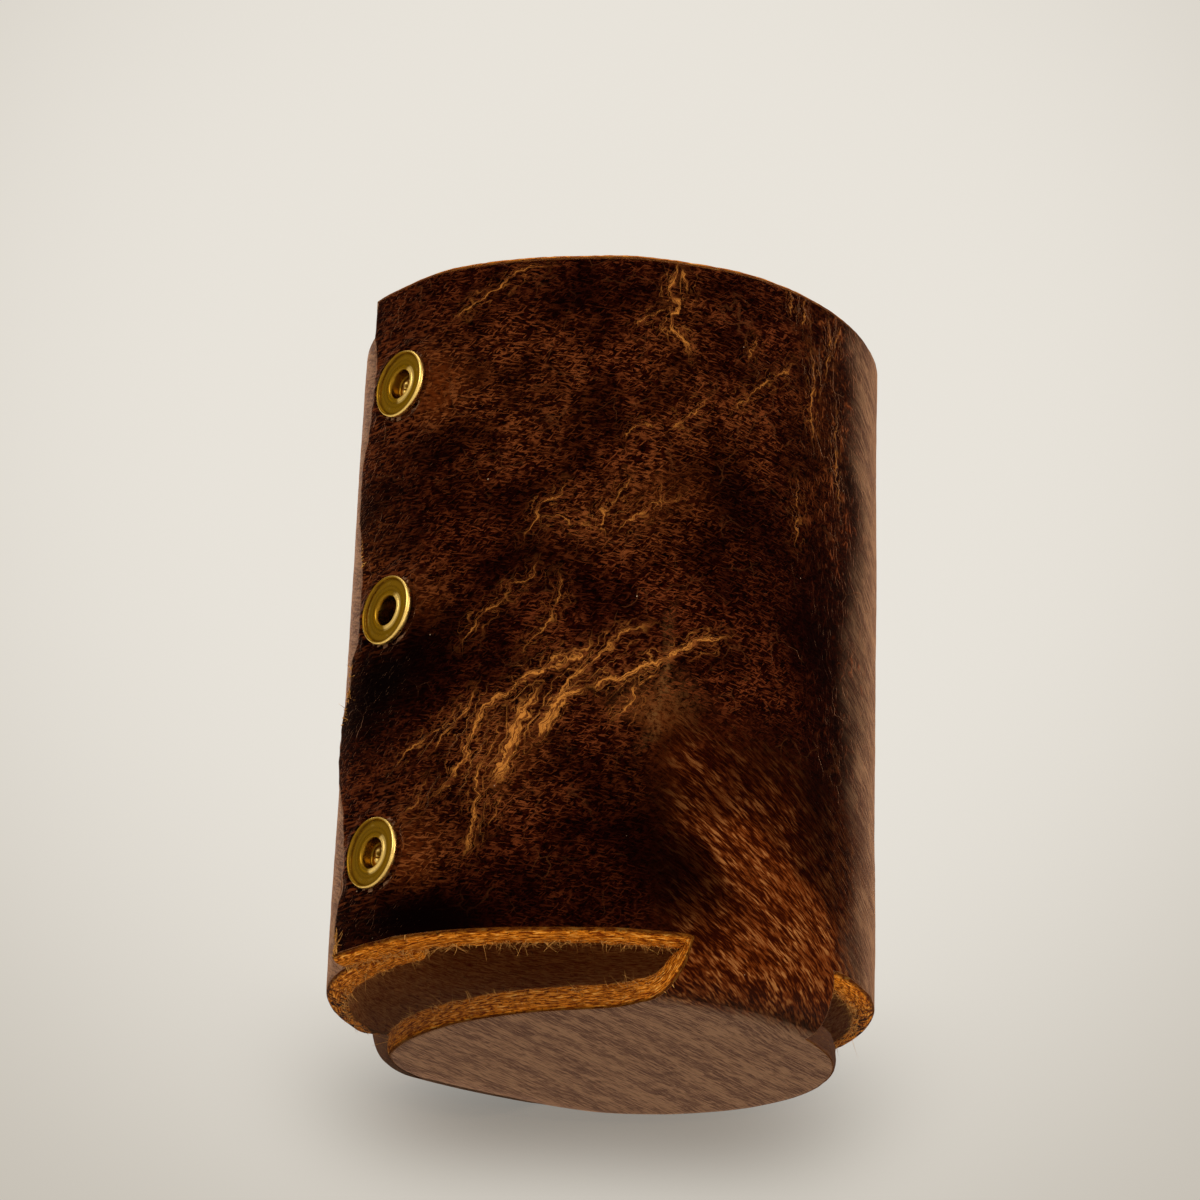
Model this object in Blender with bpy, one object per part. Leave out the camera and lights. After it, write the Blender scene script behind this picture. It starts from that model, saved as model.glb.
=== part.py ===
import bpy
import bmesh
import numpy as np
from math import asin, cos, pi, radians, sin, sqrt
from mathutils import Matrix, Vector

# A leather can cooler, in metres, with +Z up.
# The underside of the base lies on z = 0, and the sleeve's axis is the Z axis.
# Angles in plan are counted from the front, which is -Y, and grow towards the right, which is +X.

# The leather, and the can that it is cut for
leather = 0.0031
bore_radius = 0.03325
wall_height = 0.0934
edge_slant = 0.0009

# The wrap, from its hidden inner end round the back to the outer flap, measured along the wall
layer_gap = 0.0004
inner_margin = 0.0002
inner_dip = 0.0007
dip_length = 0.0336
flap_rise_length = 0.0254
flap_seat_margin = 0.0020
flap_margin = 0.0002
flap_flare = 0.0006
flap_wave = 0.0016

# The base, cut in one piece with the wall: a neck that folds under it, a rounded disc and a strap
base_drop = 0.0070
neck_angle = radians(37.4)
neck_left = 0.0124
neck_right = 0.0108
neck_flare = 0.0015

# The disc's outline: how far each arc lies inside the wall, and its middle along and across the base
right_inset = 0.0089
right_along = 0.0010
right_across = 0.0039
left_inset = 0.0031
left_along = -0.0030
left_across = 0.0085
corner_inset = 0.0087
outline_fillet = 0.0030

# The strap, which rises slowly, bends up round the wall's lower edge and pushes that edge up
strap_half_width = 0.0095
strap_rise_radius = 0.0315
strap_rise_slope = radians(31.5)
strap_bend_radius = 0.0083
strap_bulge = 0.0014
strap_above_rivet = 0.0085
strap_corner = 0.0040
rim_clearance = 0.0005
rim_lift_length = 0.0200
rim_lift_fade = 0.0100

# The hollow rivets, each a flanged post from outside and a cap from inside
rivet_angle = radians(-49)
rivet_height = 0.0124
rivet_drop = 0.0150
rivet_count = 3
strap_rivet_height = 0.0220
flange_radius = 0.00495
flange_height = 0.0010
rim_width = 0.0008
dish_depth = 0.0005
funnel_radius = 0.0022
bore_in_rivet = 0.00155
tube_wall = 0.0006
stem_depth = 0.0030
cap_radius = 0.0045
cap_height = 0.0012
cap_edge = 0.0004
fit_gap = 0.0003
cutter_overrun = 0.0040

# How finely each surface is divided
wall_rows = 16
back_columns = 44
neck_columns = 8
front_columns = 4
flap_columns = 12
bend_steps = 5
disc_steps = 16
straighten_steps = 4
rise_steps = 4
strap_steps = 4
round_steps = 24
arc_steps = 4

wall_outer = bore_radius + leather
rim_z = base_drop
top_z = rim_z + wall_height
full_turn = 2 * pi
half_turn = pi
quarter_turn = pi / 2
sharp_angle = radians(40)
tube_radius = bore_in_rivet + tube_wall

# The wrap's angles, each from the front
flap_lift = leather + layer_gap - inner_dip
flap_radius = wall_outer + flap_lift
flap_end = rivet_angle - (flange_radius + flap_margin + flap_wave) / flap_radius
flap_seat = rivet_angle + flap_seat_margin / flap_radius
flap_start = flap_seat + flap_rise_length / wall_outer
inner_end = rivet_angle + (cap_radius + inner_margin) / (wall_outer - inner_dip)
dip_start = inner_end - dip_length / wall_outer

# The rivets' places
first_rivet_z = rim_z + rivet_height
rivet_pitch = (wall_height - rivet_height - rivet_drop) / max(rivet_count - 1, 1)
strap_rivet_z = rim_z + strap_rivet_height
strap_angle = neck_angle - half_turn
strap_face = wall_outer + layer_gap + leather

# The middle of the strap's bend, and the height at which its flesh side passes the wall's outer face
bend_start_z = strap_rise_radius * (1 - cos(strap_rise_slope))
bend_middle_s = strap_bend_radius - strap_face - strap_bulge
bend_middle_z = bend_start_z + strap_bend_radius * cos(strap_rise_slope)
flesh_radius = strap_bend_radius - leather
along = Vector((sin(neck_angle), -cos(neck_angle), 0))
across = Vector((cos(neck_angle), sin(neck_angle), 0))


def ease(share):
    """Goes smoothly from 0 to 1 as the share does."""
    return (1 - np.cos(pi * np.clip(share, 0, 1))) / 2


def wrap_radius(angle):
    """The radius of the outer face at an angle unrolled from the inner end, round the back, to the flap."""
    dip = inner_dip * ease((angle - dip_start) / (inner_end - dip_start))
    turned = angle + full_turn
    lift = flap_lift * ease((flap_start - turned) / (flap_start - flap_seat))
    flare = flap_flare * ease((flap_seat - turned) / (flap_seat - flap_end))
    return wall_outer - dip + lift + flare


def flap_end_at(z):
    """The angle of the flap's edge, which is drawn in beside each rivet."""
    wave = flap_wave / flap_radius * np.cos(full_turn * (z - first_rivet_z) / rivet_pitch)
    return flap_end + wave - full_turn


def column_angles(z):
    """The angle of every column of the wall at one height."""
    neck_start = neck_angle + asin(neck_right / wall_outer) - full_turn
    neck_end = neck_angle - asin(neck_left / wall_outer) - full_turn
    ends = (inner_end, neck_start, neck_end, flap_start - full_turn, flap_end_at(z))
    counts = (back_columns, neck_columns, front_columns, flap_columns)
    runs = [np.linspace(a, b, n + 1)[:-1] for a, b, n in zip(ends, ends[1:], counts)]
    return np.append(np.concatenate(runs), ends[-1])


def wall_points():
    """The wall's outer face as rows from the top edge down to the lower edge, which the strap pushes up."""
    strap_top_z = bend_middle_z - half_chord(flesh_radius, wall_outer + bend_middle_s)
    rim_lift = max(strap_top_z + rim_clearance - rim_z, 0)
    rows = []
    for z in np.linspace(top_z, rim_z, wall_rows + 1):
        angle = column_angles(z)
        radius = wrap_radius(angle)
        from_strap = wall_outer * np.abs(angle - strap_angle)
        lift = rim_lift * ease((rim_lift_length - from_strap) / rim_lift_fade)
        height = z + lift * (top_z - z) / wall_height
        rows.append(np.stack([radius * np.sin(angle), -radius * np.cos(angle), height], axis=-1))
    return np.array(rows)


def soft_max(a, b):
    """The larger of two widths, with the corner between them rounded."""
    return (a + b + sqrt((a - b) ** 2 + outline_fillet ** 2)) / 2


def half_chord(radius, offset):
    """Half the width of a circle at an offset from its middle, or zero beyond it."""
    return sqrt(max(radius ** 2 - offset ** 2, 0))


def sagitta(radius, t):
    """How far a circle falls behind its tangent at a distance t along it."""
    return radius - np.sqrt(radius ** 2 - t ** 2)


def left_edge(s):
    """How far the base reaches to the left at s: a broad arc, then a tighter one round the wall's axis."""
    broad = half_chord(wall_outer - left_inset, s - left_along) - left_across
    disc = min(broad, half_chord(wall_outer - corner_inset, s))
    return -soft_max(disc, neck_left + neck_flare if s > 0 else strap_half_width)


def right_edge(s):
    """How far the base reaches to the right at s: one arc, set off towards that side."""
    disc = half_chord(wall_outer - right_inset, s - right_along) + right_across
    return soft_max(disc, neck_right + neck_flare if s > 0 else strap_half_width)


def strap_edges(s, to_end):
    """The strap's two sides, drawn in round its end corners."""
    inset = max(strap_corner - to_end, 0)
    drawn = strap_corner - half_chord(strap_corner, inset)
    return left_edge(s) + drawn, right_edge(s) - drawn


def front_fold():
    """The quarter turn under the wall: middle line, height, sides and how far it follows the wall."""
    rows = []
    for step in range(1, bend_steps + 1):
        turn = quarter_turn * step / bend_steps
        s = wall_outer - base_drop * (1 - cos(turn))
        flare = neck_flare * step / bend_steps
        rows.append((s, base_drop * (1 - sin(turn)), -neck_left - flare, neck_right + flare, 1, 0))
    return rows


def flat_disc(start, end):
    """The flat base, from the front fold to where the strap starts to rise."""
    rows = []
    for step in range(1, disc_steps + 1):
        s = start + (end - start) * step / disc_steps
        front = max(1 - step / straighten_steps, 0)
        left = left_edge(s - front * sagitta(wall_outer, neck_left))
        right = right_edge(s - front * sagitta(wall_outer, neck_right))
        rows.append((s, 0, left, right, front, 0))
    return rows


def rising_strap(start):
    """The strap's slow rise and its tighter bend up round the wall's lower edge."""
    rows = []
    for step in range(1, rise_steps + 1):
        slope = strap_rise_slope * step / rise_steps
        s = start - strap_rise_radius * sin(slope)
        z = strap_rise_radius * (1 - cos(slope))
        rows.append((s, z, left_edge(s), right_edge(s), 0, step / rise_steps))
    for step in range(1, bend_steps + 1):
        slope = strap_rise_slope + (quarter_turn - strap_rise_slope) * step / bend_steps
        s = bend_middle_s - strap_bend_radius * sin(slope)
        z = bend_middle_z - strap_bend_radius * cos(slope)
        rows.append((s, z, left_edge(s), right_edge(s), 0, 1))
    return rows


def upright_strap():
    """The strap's end, which draws in from its bulge to the wall and has rounded corners."""
    rows = []
    end_z = strap_rivet_z + strap_above_rivet
    corner_z = end_z - strap_corner
    turns = np.linspace(0, quarter_turn, strap_steps + 1)[1:]
    straight = np.linspace(bend_middle_z, corner_z, strap_steps + 1)[1:]
    for z in [*straight, *(corner_z + strap_corner * np.sin(turns))]:
        drawn_in = ease((z - bend_middle_z) / (strap_rivet_z - flange_radius - bend_middle_z))
        s = -strap_face - strap_bulge * (1 - drawn_in)
        rows.append((s, z, *strap_edges(s, end_z - z), 0, 1))
    return rows


def base_rows():
    """Every station along the base, from the wall's lower edge to the strap's end."""
    rise_start = bend_middle_s + (strap_rise_radius - strap_bend_radius) * sin(strap_rise_slope)
    disc = flat_disc(wall_outer - base_drop, rise_start)
    return front_fold() + disc + rising_strap(rise_start) + upright_strap()


def follow_wall(front, back, t):
    """How far a station bends to follow the round wall, over the width of the neck or the strap."""
    neck = sagitta(wall_outer, np.clip(t, -neck_left, neck_right))
    strap = sagitta(wall_outer + leather, np.clip(t, -strap_half_width, strap_half_width))
    return back * strap - front * neck


def base_points(rim):
    """The base's outer face, whose first row follows the wall's lower edge."""
    t_rim = rim @ np.array(across)
    shares = (t_rim - t_rim[0]) / (t_rim[-1] - t_rim[0])
    rows = []
    for s, z, left, right, front, back in base_rows():
        t = right + (left - right) * shares
        reach = s + follow_wall(front, back, t)
        plan = np.outer(reach, along) + np.outer(t, across)
        rows.append(plan + np.array((0, 0, z)))
    return np.array(rows)


def grid_faces(index):
    """The four-sided faces of a grid of vertex numbers."""
    return [
        (index[i][j], index[i][j + 1], index[i + 1][j + 1], index[i + 1][j])
        for i in range(len(index) - 1)
        for j in range(len(index[0]) - 1)
    ]


def leather_sheet():
    """The leather's outer face, wall and base as one sheet, and the slant of its cut edge at each point."""
    wall = wall_points()
    index = np.arange(wall.shape[0] * wall.shape[1]).reshape(wall.shape[:2])
    neck = slice(back_columns, back_columns + neck_columns + 1)
    base = base_points(wall[-1, neck])
    base_index = index.size + np.arange(base.shape[0] * base.shape[1]).reshape(base.shape[:2])
    base_index = np.vstack([index[-1, neck], base_index])
    points = np.vstack([wall.reshape(-1, 3), base.reshape(-1, 3)])
    slants = [edge_slant] * index.size + [0] * (base.size // 3)
    return points, grid_faces(index.tolist()) + grid_faces(base_index.tolist()), slants


def edge_directions(mesh):
    """For each point on the sheet's edge, the direction in the sheet that leads off it."""
    away = {}
    for edge in mesh.edges:
        if not edge.is_boundary:
            continue
        face = edge.link_faces[0]
        run = (edge.verts[1].co - edge.verts[0].co).normalized()
        out = run.cross(face.normal)
        if out.dot(edge.verts[0].co - face.calc_center_median()) < 0:
            out = -out
        for vert in edge.verts:
            away[vert] = away.get(vert, Vector((0, 0, 0))) + out
    return away


def thick_leather(points, faces, slants):
    """The sheet given its thickness, with a cut edge that slants out towards the flesh side."""
    mesh = bmesh.new()
    outer = [mesh.verts.new(p) for p in points]
    for face in faces:
        mesh.faces.new([outer[i] for i in face])
    mesh.normal_update()
    away = edge_directions(mesh)
    borders = [edge for edge in mesh.edges if edge.is_boundary]
    inner = {}
    for vert, slant in zip(outer, slants):
        lean = away[vert].normalized() * slant if vert in away else Vector((0, 0, 0))
        inner[vert] = vert.co - vert.normal * leather + lean
    inner = {vert: mesh.verts.new(place) for vert, place in inner.items()}
    for face in list(mesh.faces):
        mesh.faces.new([inner[vert] for vert in reversed(face.verts)])
    for edge in borders:
        a, b = edge.verts
        mesh.faces.new((a, b, inner[b], inner[a]))
    bmesh.ops.recalc_face_normals(mesh, faces=mesh.faces)
    return mesh


def material(name, colour, roughness, metallic):
    """A plain finish with the given colour, roughness and metallic value."""
    finish = bpy.data.materials.new(name)
    finish.use_nodes = True
    shader = finish.node_tree.nodes["Principled BSDF"]
    shader.inputs["Base Color"].default_value = (*colour, 1)
    shader.inputs["Roughness"].default_value = roughness
    shader.inputs["Metallic"].default_value = metallic
    return finish


def leather_material():
    """Dark brown waxed leather."""
    return material("brown_leather", (0.10, 0.035, 0.012), 0.55, 0)


def brass_material():
    """Aged yellow brass."""
    return material("aged_brass", (0.55, 0.38, 0.12), 0.3, 1)


def put_object(name, mesh, finish):
    """Puts a mesh in the scene as one smooth object with one material."""
    data = bpy.data.meshes.new(name)
    mesh.to_mesh(data)
    mesh.free()
    data.materials.append(finish)
    data.shade_smooth()
    data.set_sharp_from_angle(angle=sharp_angle)
    obj = bpy.data.objects.new(name, data)
    bpy.context.collection.objects.link(obj)
    return obj


def turned(profile, closed):
    """A profile of radius and height, turned about Z. A closed one is a ring, an open one meets the axis."""
    mesh = bmesh.new()
    rings = []
    for radius, z in profile:
        if radius == 0:
            rings.append([mesh.verts.new((0, 0, z))] * round_steps)
            continue
        angles = [full_turn * i / round_steps for i in range(round_steps)]
        rings.append([mesh.verts.new((radius * cos(a), radius * sin(a), z)) for a in angles])
    pairs = list(zip(rings, rings[1:]))
    if closed:
        pairs.append((rings[-1], rings[0]))
    for low, high in pairs:
        for i in range(round_steps):
            j = (i + 1) % round_steps
            corners = (low[i], low[j], high[j], high[i])
            mesh.faces.new(tuple(dict.fromkeys(corners)))
    bmesh.ops.recalc_face_normals(mesh, faces=mesh.faces)
    return mesh


def arc(centre_r, centre_z, radius_r, radius_z, start, end):
    """Points of an elliptical arc in a profile."""
    turns = [start + (end - start) * i / arc_steps for i in range(arc_steps + 1)]
    return [(centre_r + radius_r * cos(a), centre_z + radius_z * sin(a)) for a in turns]


def post_profile(stack):
    """The post's section: a flange with a raised rolled rim, a dished face, and a funnel into the tube."""
    bead = rim_width / 2
    dish_z = fit_gap + flange_height - dish_depth
    rim = arc(flange_radius - bead, fit_gap + flange_height - bead, bead, bead, 0, half_turn)
    mouth = (funnel_radius - bore_in_rivet, dish_z - fit_gap)
    funnel = arc(funnel_radius, fit_gap, mouth[0], mouth[1], quarter_turn, half_turn)
    tube_end = fit_gap - stack - cap_seat()
    return [(tube_radius, tube_end), (tube_radius, fit_gap), (flange_radius, fit_gap)] + rim + [
        (flange_radius - rim_width, dish_z),
        *funnel,
        (bore_in_rivet, tube_end),
    ]


def cap_seat():
    """How far below the leather's flesh side the flat cap lies, so that its edge clears the hollow wall."""
    return fit_gap + sagitta(wall_outer - leather - inner_dip, cap_radius)


def cap_profile(stack):
    """The cap's section: a stem up the middle of the post, and a low dome against the can."""
    face_z = -stack - cap_seat()
    stem_radius = bore_in_rivet - fit_gap
    edge_z = face_z - cap_edge
    dome = arc(0, edge_z, cap_radius, cap_height - cap_edge, 0, -quarter_turn)
    stem = [(0, -stem_depth), (stem_radius, -stem_depth), (stem_radius, face_z)]
    return stem + [(cap_radius, face_z)] + dome[:-1] + [(0, dome[-1][1])]


def rivet_frame(angle, radius, z):
    """Places a rivet's own Z axis along the outward direction at a place on the leather."""
    outward = Vector((sin(angle), -cos(angle), 0))
    turn = outward.to_track_quat("Z", "Y").to_matrix().to_4x4()
    return Matrix.Translation(outward * radius + Vector((0, 0, z))) @ turn


def rivet_places():
    """Each rivet's name, its place, and the thickness of leather that it holds."""
    flap_face = float(wrap_radius(rivet_angle - full_turn))
    flesh_face = float(wrap_radius(rivet_angle)) - leather
    places = []
    for number in range(rivet_count):
        z = first_rivet_z + number * rivet_pitch
        frame = rivet_frame(rivet_angle, flap_face, z)
        places.append((f"rivet_{number + 1}", frame, flap_face - flesh_face))
    frame = rivet_frame(strap_angle, strap_face, strap_rivet_z)
    places.append(("strap_rivet", frame, strap_face - bore_radius))
    return places


def hole_cutter(places):
    """One hidden tool that bores every rivet hole through both layers."""
    mesh = bmesh.new()
    for _, frame, stack in places:
        length = stack + 2 * cutter_overrun
        middle = frame @ Matrix.Translation((0, 0, -stack / 2))
        radius = tube_radius + fit_gap
        sizes = {"radius1": radius, "radius2": radius, "depth": length}
        bmesh.ops.create_cone(mesh, cap_ends=True, segments=round_steps, matrix=middle, **sizes)
    tool = put_object("hole_cutter", mesh, leather_material())
    tool.hide_render = True
    tool.display_type = "WIRE"
    return tool


def make_leather(places):
    """The one piece of leather, with its rivet holes."""
    body = put_object("leather_body", thick_leather(*leather_sheet()), leather_material())
    holes = body.modifiers.new("rivet_holes", "BOOLEAN")
    holes.object = hole_cutter(places)
    holes.operation = "DIFFERENCE"
    holes.solver = "EXACT"


def make_rivet(name, frame, stack, finish):
    """A post from outside and a cap from inside."""
    post = put_object(f"{name}_post", turned(post_profile(stack), True), finish)
    cap = put_object(f"{name}_cap", turned(cap_profile(stack), False), finish)
    for piece in (post, cap):
        piece.matrix_world = frame


def main():
    for obj in list(bpy.data.objects):
        bpy.data.objects.remove(obj)
    places = rivet_places()
    make_leather(places)
    finish = brass_material()
    for name, frame, stack in places:
        make_rivet(name, frame, stack, finish)


main()
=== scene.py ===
from functools import partial, reduce
from math import asin, cos, pi, radians, sin

import bpy
import numpy as np
from mathutils import Matrix, Vector


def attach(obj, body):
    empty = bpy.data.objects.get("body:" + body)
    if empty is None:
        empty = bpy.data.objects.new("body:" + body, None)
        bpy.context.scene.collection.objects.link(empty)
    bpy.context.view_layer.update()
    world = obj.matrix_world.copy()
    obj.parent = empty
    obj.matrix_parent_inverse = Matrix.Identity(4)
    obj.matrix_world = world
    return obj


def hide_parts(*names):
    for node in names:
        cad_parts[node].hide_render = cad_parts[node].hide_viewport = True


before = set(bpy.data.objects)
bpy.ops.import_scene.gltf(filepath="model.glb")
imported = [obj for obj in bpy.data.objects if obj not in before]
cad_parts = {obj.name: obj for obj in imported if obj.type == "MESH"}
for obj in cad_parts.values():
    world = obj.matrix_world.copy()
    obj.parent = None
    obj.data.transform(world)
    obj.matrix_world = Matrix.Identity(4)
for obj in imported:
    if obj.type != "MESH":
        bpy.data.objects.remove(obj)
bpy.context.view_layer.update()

scene = bpy.context.scene
mm = 0.001  # the shapes below are worked out in millimetres
print("frame loaded with", len(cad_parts), "nodes")


# Small curves, noises and mesh helpers

def ease(share):
    # half a cosine wave, 0 where the share is under 0 and 1 where it is over 1
    return (1 - np.cos(pi * np.clip(share, 0, 1))) / 2


def bell(distance, width):
    # exp(-(distance / width) squared)
    return np.exp(-(distance / width) ** 2)


def smoothNoise(x, y, cell, seed):
    # random numbers on a square lattice, blended inside each cell by 3t^2 - 2t^3, from -1 to 1
    table = np.random.default_rng(seed).uniform(-1, 1, (64, 64))
    i, j = np.floor(x / cell).astype(int), np.floor(y / cell).astype(int)
    a, b = x / cell - i, y / cell - j
    a, b = a * a * (3 - 2 * a), b * b * (3 - 2 * b)
    i0, i1, j0, j1 = i % 64, (i + 1) % 64, j % 64, (j + 1) % 64
    low = table[i0, j0] * (1 - a) + table[i1, j0] * a
    high = table[i0, j1] * (1 - a) + table[i1, j1] * a
    return low * (1 - b) + high * b


def cloud(x, y, cell, seed):
    # three noises, each with half the cell and half the height of the one before
    return sum(smoothNoise(x, y, cell / 2 ** n, seed + n) / 2 ** n for n in range(3)) / 1.75


def throughPoints(x, table):
    # a cubic through every point of the table, its slope at each point taken from the neighbours
    xs, ys = np.array(table, float).T
    slopes = np.gradient(ys, xs)
    k = np.clip(np.searchsorted(xs, x) - 1, 0, len(xs) - 2)
    width = xs[k + 1] - xs[k]
    t = np.clip((x - xs[k]) / width, 0, 1)
    flat = ys[k] * (2 * t ** 3 - 3 * t ** 2 + 1) + ys[k + 1] * (3 * t ** 2 - 2 * t ** 3)
    lean = slopes[k] * (t ** 3 - 2 * t ** 2 + t) + slopes[k + 1] * (t ** 3 - t ** 2)
    return flat + lean * width


def unit(vectors):
    # vector / its length
    return vectors / np.linalg.norm(vectors, axis=-1, keepdims=True)


def numbered(grid, first=0):
    # vertex numbers of a grid of points, row by row
    return first + np.arange(grid.shape[0] * grid.shape[1]).reshape(grid.shape[:2])


def gridFaces(index):
    # the four-sided faces of a grid of vertex numbers, or of many such grids
    above, below = index[..., :-1, :], index[..., 1:, :]
    return np.stack([above[..., :-1], above[..., 1:], below[..., 1:], below[..., :-1]], -1).reshape(-1, 4)


def vertexNormals(points, faces):
    # the sum of the cross products of the diagonals of the faces that meet at each point
    a, b, c, d = (points[faces[:, k]] for k in range(4))
    normal = np.cross(c - a, d - b)
    total = np.zeros_like(points)
    for k in range(4):
        np.add.at(total, faces[:, k], normal)
    return unit(total)


def makePiece(name, points, faces, materials, **values):
    # a smooth mesh object from points in millimetres, with the values that its material reads
    mesh = bpy.data.meshes.new(name)
    mesh.from_pydata((points * mm).tolist(), [], faces)
    for label, value in values.items():
        kind, field = ("FLOAT_VECTOR", "vector") if value.ndim == 2 else ("FLOAT", "value")
        layer = mesh.attributes.new(label, kind, "POINT")
        layer.data.foreach_set(field, value.astype(np.float32).ravel())
    for material in materials:
        mesh.materials.append(material)
    mesh.shade_smooth()
    mesh.update()
    obj = bpy.data.objects.new(name, mesh)
    scene.collection.objects.link(obj)
    return obj


# The leather: one hide, wrapped from its inner end round the back to the outer flap,
# with a neck at the front right that folds under as the base and goes up the back as the strap

sleeve = {
    "thickness": 3.1,
    "outer": 36.35,  # radius of the grain side
    "rim": 7,  # height of the wall's lower edge
    "top": 100.4,
    "slant": 0.9,  # how far the cut edges lean out towards the flesh side
    "bevel": 0.42,  # the worn corner of the grain side
    "innerEnd": 318.55,  # degrees from the front, the left being 270
    "dipStart": 265.6,
    "innerDip": 0.7,
    "flapStart": -6.03,  # where the flap starts to climb over the inner end
    "flapSeat": -46.07,
    "flapEnd": -58.88,
    "flapLift": 2.8,
    "flapFlare": 0.6,
    "endDraw": 1.9,  # how far the hidden inner end draws back on the flesh side
    "rows": 180,
    "columns": (124, 50, 56, 34, 80),
    "sideAngle": 95,  # columns are closer in front of this
    "cutRings": [  # depth under the grain side, share of the slant, roughness
        (0.28, 0, 0.04), (0.85, 0.5, 0.07), (1.5, 0.72, 0.11), (2.15, 0.84, 0.15), (2.75, 0.92, 0.22),
        (3.05, 0.8, 0.3)],
    "flapEdge": [  # height over the lower edge, angle of the flap's wavy cut
        (0, -60.2), (4.3, -60.6), (8.6, -59.2), (12, -58.6), (18, -59.6), (21.5, -61.6), (27, -63.2),
        (33, -62.6), (37, -60.9), (40.6, -60.2), (42.4, -58.5), (46, -58.2), (50, -58.4), (54, -58.9),
        (57.6, -59.8), (60, -60.7), (68, -60.7), (74, -59.4), (78, -58.4), (83, -58.1), (88, -58.9),
        (94, -59.3)],
}

base = {
    "neckAngle": 37.4,
    "neckLeft": 12.4,
    "neckRight": 10.8,
    "neckFlare": 1.5,
    "drop": 7,
    "rightInset": 8.9, "rightAlong": 1, "rightAcross": 3.9,
    "leftInset": 3.1, "leftAlong": -3, "leftAcross": 8.5,
    "cornerInset": 8.7,
    "fillet": 3,
    "strapHalf": 9.5,
    "riseRadius": 31.5,
    "riseSlope": 31.5,
    "bendRadius": 8.3,
    "bulge": 1.4,
    "strapGap": 0.4,
    "strapEnd": 37.5,
    "strapCorner": 4,
    "rimClearance": 0.5,
    "steps": (14, 60, 20, 14, 20, 8),  # fold, disc, slow rise, bend, upright, rounded end
}

rivets = {
    "angle": -47.9,
    "heights": (19.05, 52.25, 84.95),
    "strapHeight": 29,
    "flange": 4.72,
    "under": 0.3,  # the flange's underside over the leather
    "bore": 1.95,
    "pit": 2.75,
    "reach": 13,  # how far round its middle a rivet works the leather
    "holdFrom": 4.8,
    "holdFade": 3.4,
    "rings": ((0.2, 5.8, 0.55), (-0.34, 4.9, 0.33), (-0.1, 7.5, 0.9)),  # height, radius, width
}


def wrapRadius(theta):
    # outer radius - dip towards the inner end + the flap's lift + its flare, each an eased step
    s = sleeve
    t = np.degrees(theta)
    dip = s["innerDip"] * ease((t - s["dipStart"]) / (s["innerEnd"] - s["dipStart"]))
    lift = s["flapLift"] * ease((s["flapStart"] - t) / (s["flapStart"] - s["flapSeat"]))
    flare = s["flapFlare"] * ease((s["flapSeat"] - t) / (s["flapSeat"] - s["flapEnd"]))
    return s["outer"] - dip + lift + flare


def halfChord(radius, offset):
    # sqrt(radius squared - offset squared), 0 outside the circle
    return np.sqrt(np.maximum(radius ** 2 - offset ** 2, 0))


def sagitta(radius, offset):
    # how far an arc falls back at this offset from its middle
    return radius - halfChord(radius, offset)


strapFace = sleeve["outer"] + base["strapGap"] + sleeve["thickness"]
bendMiddleS = base["bendRadius"] - strapFace - base["bulge"]
bendMiddleZ = (base["riseRadius"] * (1 - cos(radians(base["riseSlope"])))
               + base["bendRadius"] * cos(radians(base["riseSlope"])))
riseStart = bendMiddleS + (base["riseRadius"] - base["bendRadius"]) * sin(radians(base["riseSlope"]))
along = np.array((sin(radians(base["neckAngle"])), -cos(radians(base["neckAngle"])), 0))
across = np.array((cos(radians(base["neckAngle"])), sin(radians(base["neckAngle"])), 0))


def wallGrid():
    # rows from the top edge down, columns from the inner end round the back to the flap:
    # x = r sin(theta), y = -r cos(theta), and the strap pushes the lower edge up by an eased hump
    s = sleeve
    neck = radians(base["neckAngle"])
    ends = [radians(s["innerEnd"]), radians(s["sideAngle"]),
            neck + asin(base["neckRight"] / s["outer"]), neck - asin(base["neckLeft"] / s["outer"]),
            radians(s["flapStart"])]
    z = np.linspace(s["top"], s["rim"], s["rows"] + 1)[:, None]
    flapEnd = np.radians(throughPoints(z - s["rim"], s["flapEdge"]))
    flapEnd = flapEnd + np.radians(0.25) * smoothNoise(z, 0, 1.1, 3)
    runs = [np.linspace(a, b, n + 1)[:-1] for a, b, n in zip(ends, ends[1:], s["columns"])]
    fixed = np.hstack(runs)[None, :] + z * 0
    share = np.linspace(0, 1, s["columns"][-1] + 1)[None, :]
    theta = np.hstack([fixed, ends[-1] + (flapEnd - ends[-1]) * share])
    strapTop = bendMiddleZ - halfChord(base["bendRadius"] - s["thickness"], s["outer"] + bendMiddleS)
    push = max(strapTop + base["rimClearance"] - s["rim"], 0)
    fromStrap = s["outer"] * np.abs(theta - neck - pi)
    height = z + push * ease((20 - fromStrap) / 10) * (s["top"] - z) / (s["top"] - s["rim"])
    height = height + 0.12 * smoothNoise(theta * 36, 0, 9, 5) * ease((z - 90) / 10)
    radius = wrapRadius(theta)
    points = np.stack([radius * np.sin(theta), -radius * np.cos(theta), height], -1)
    hide = np.stack([s["outer"] * theta, height, theta * 0], -1)
    return points, hide


def softMax(a, b):
    # the larger of two widths, its corner rounded by a hyperbola
    return (a + b + np.sqrt((a - b) ** 2 + base["fillet"] ** 2)) / 2


def leftEdge(s):
    # a broad arc and a tighter one round the axis, never narrower than the neck or the strap
    b, outer = base, sleeve["outer"]
    broad = halfChord(outer - b["leftInset"], s - b["leftAlong"]) - b["leftAcross"]
    disc = np.minimum(broad, halfChord(outer - b["cornerInset"], s))
    return -softMax(disc, np.where(s > 0, b["neckLeft"] + b["neckFlare"], b["strapHalf"]))


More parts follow.
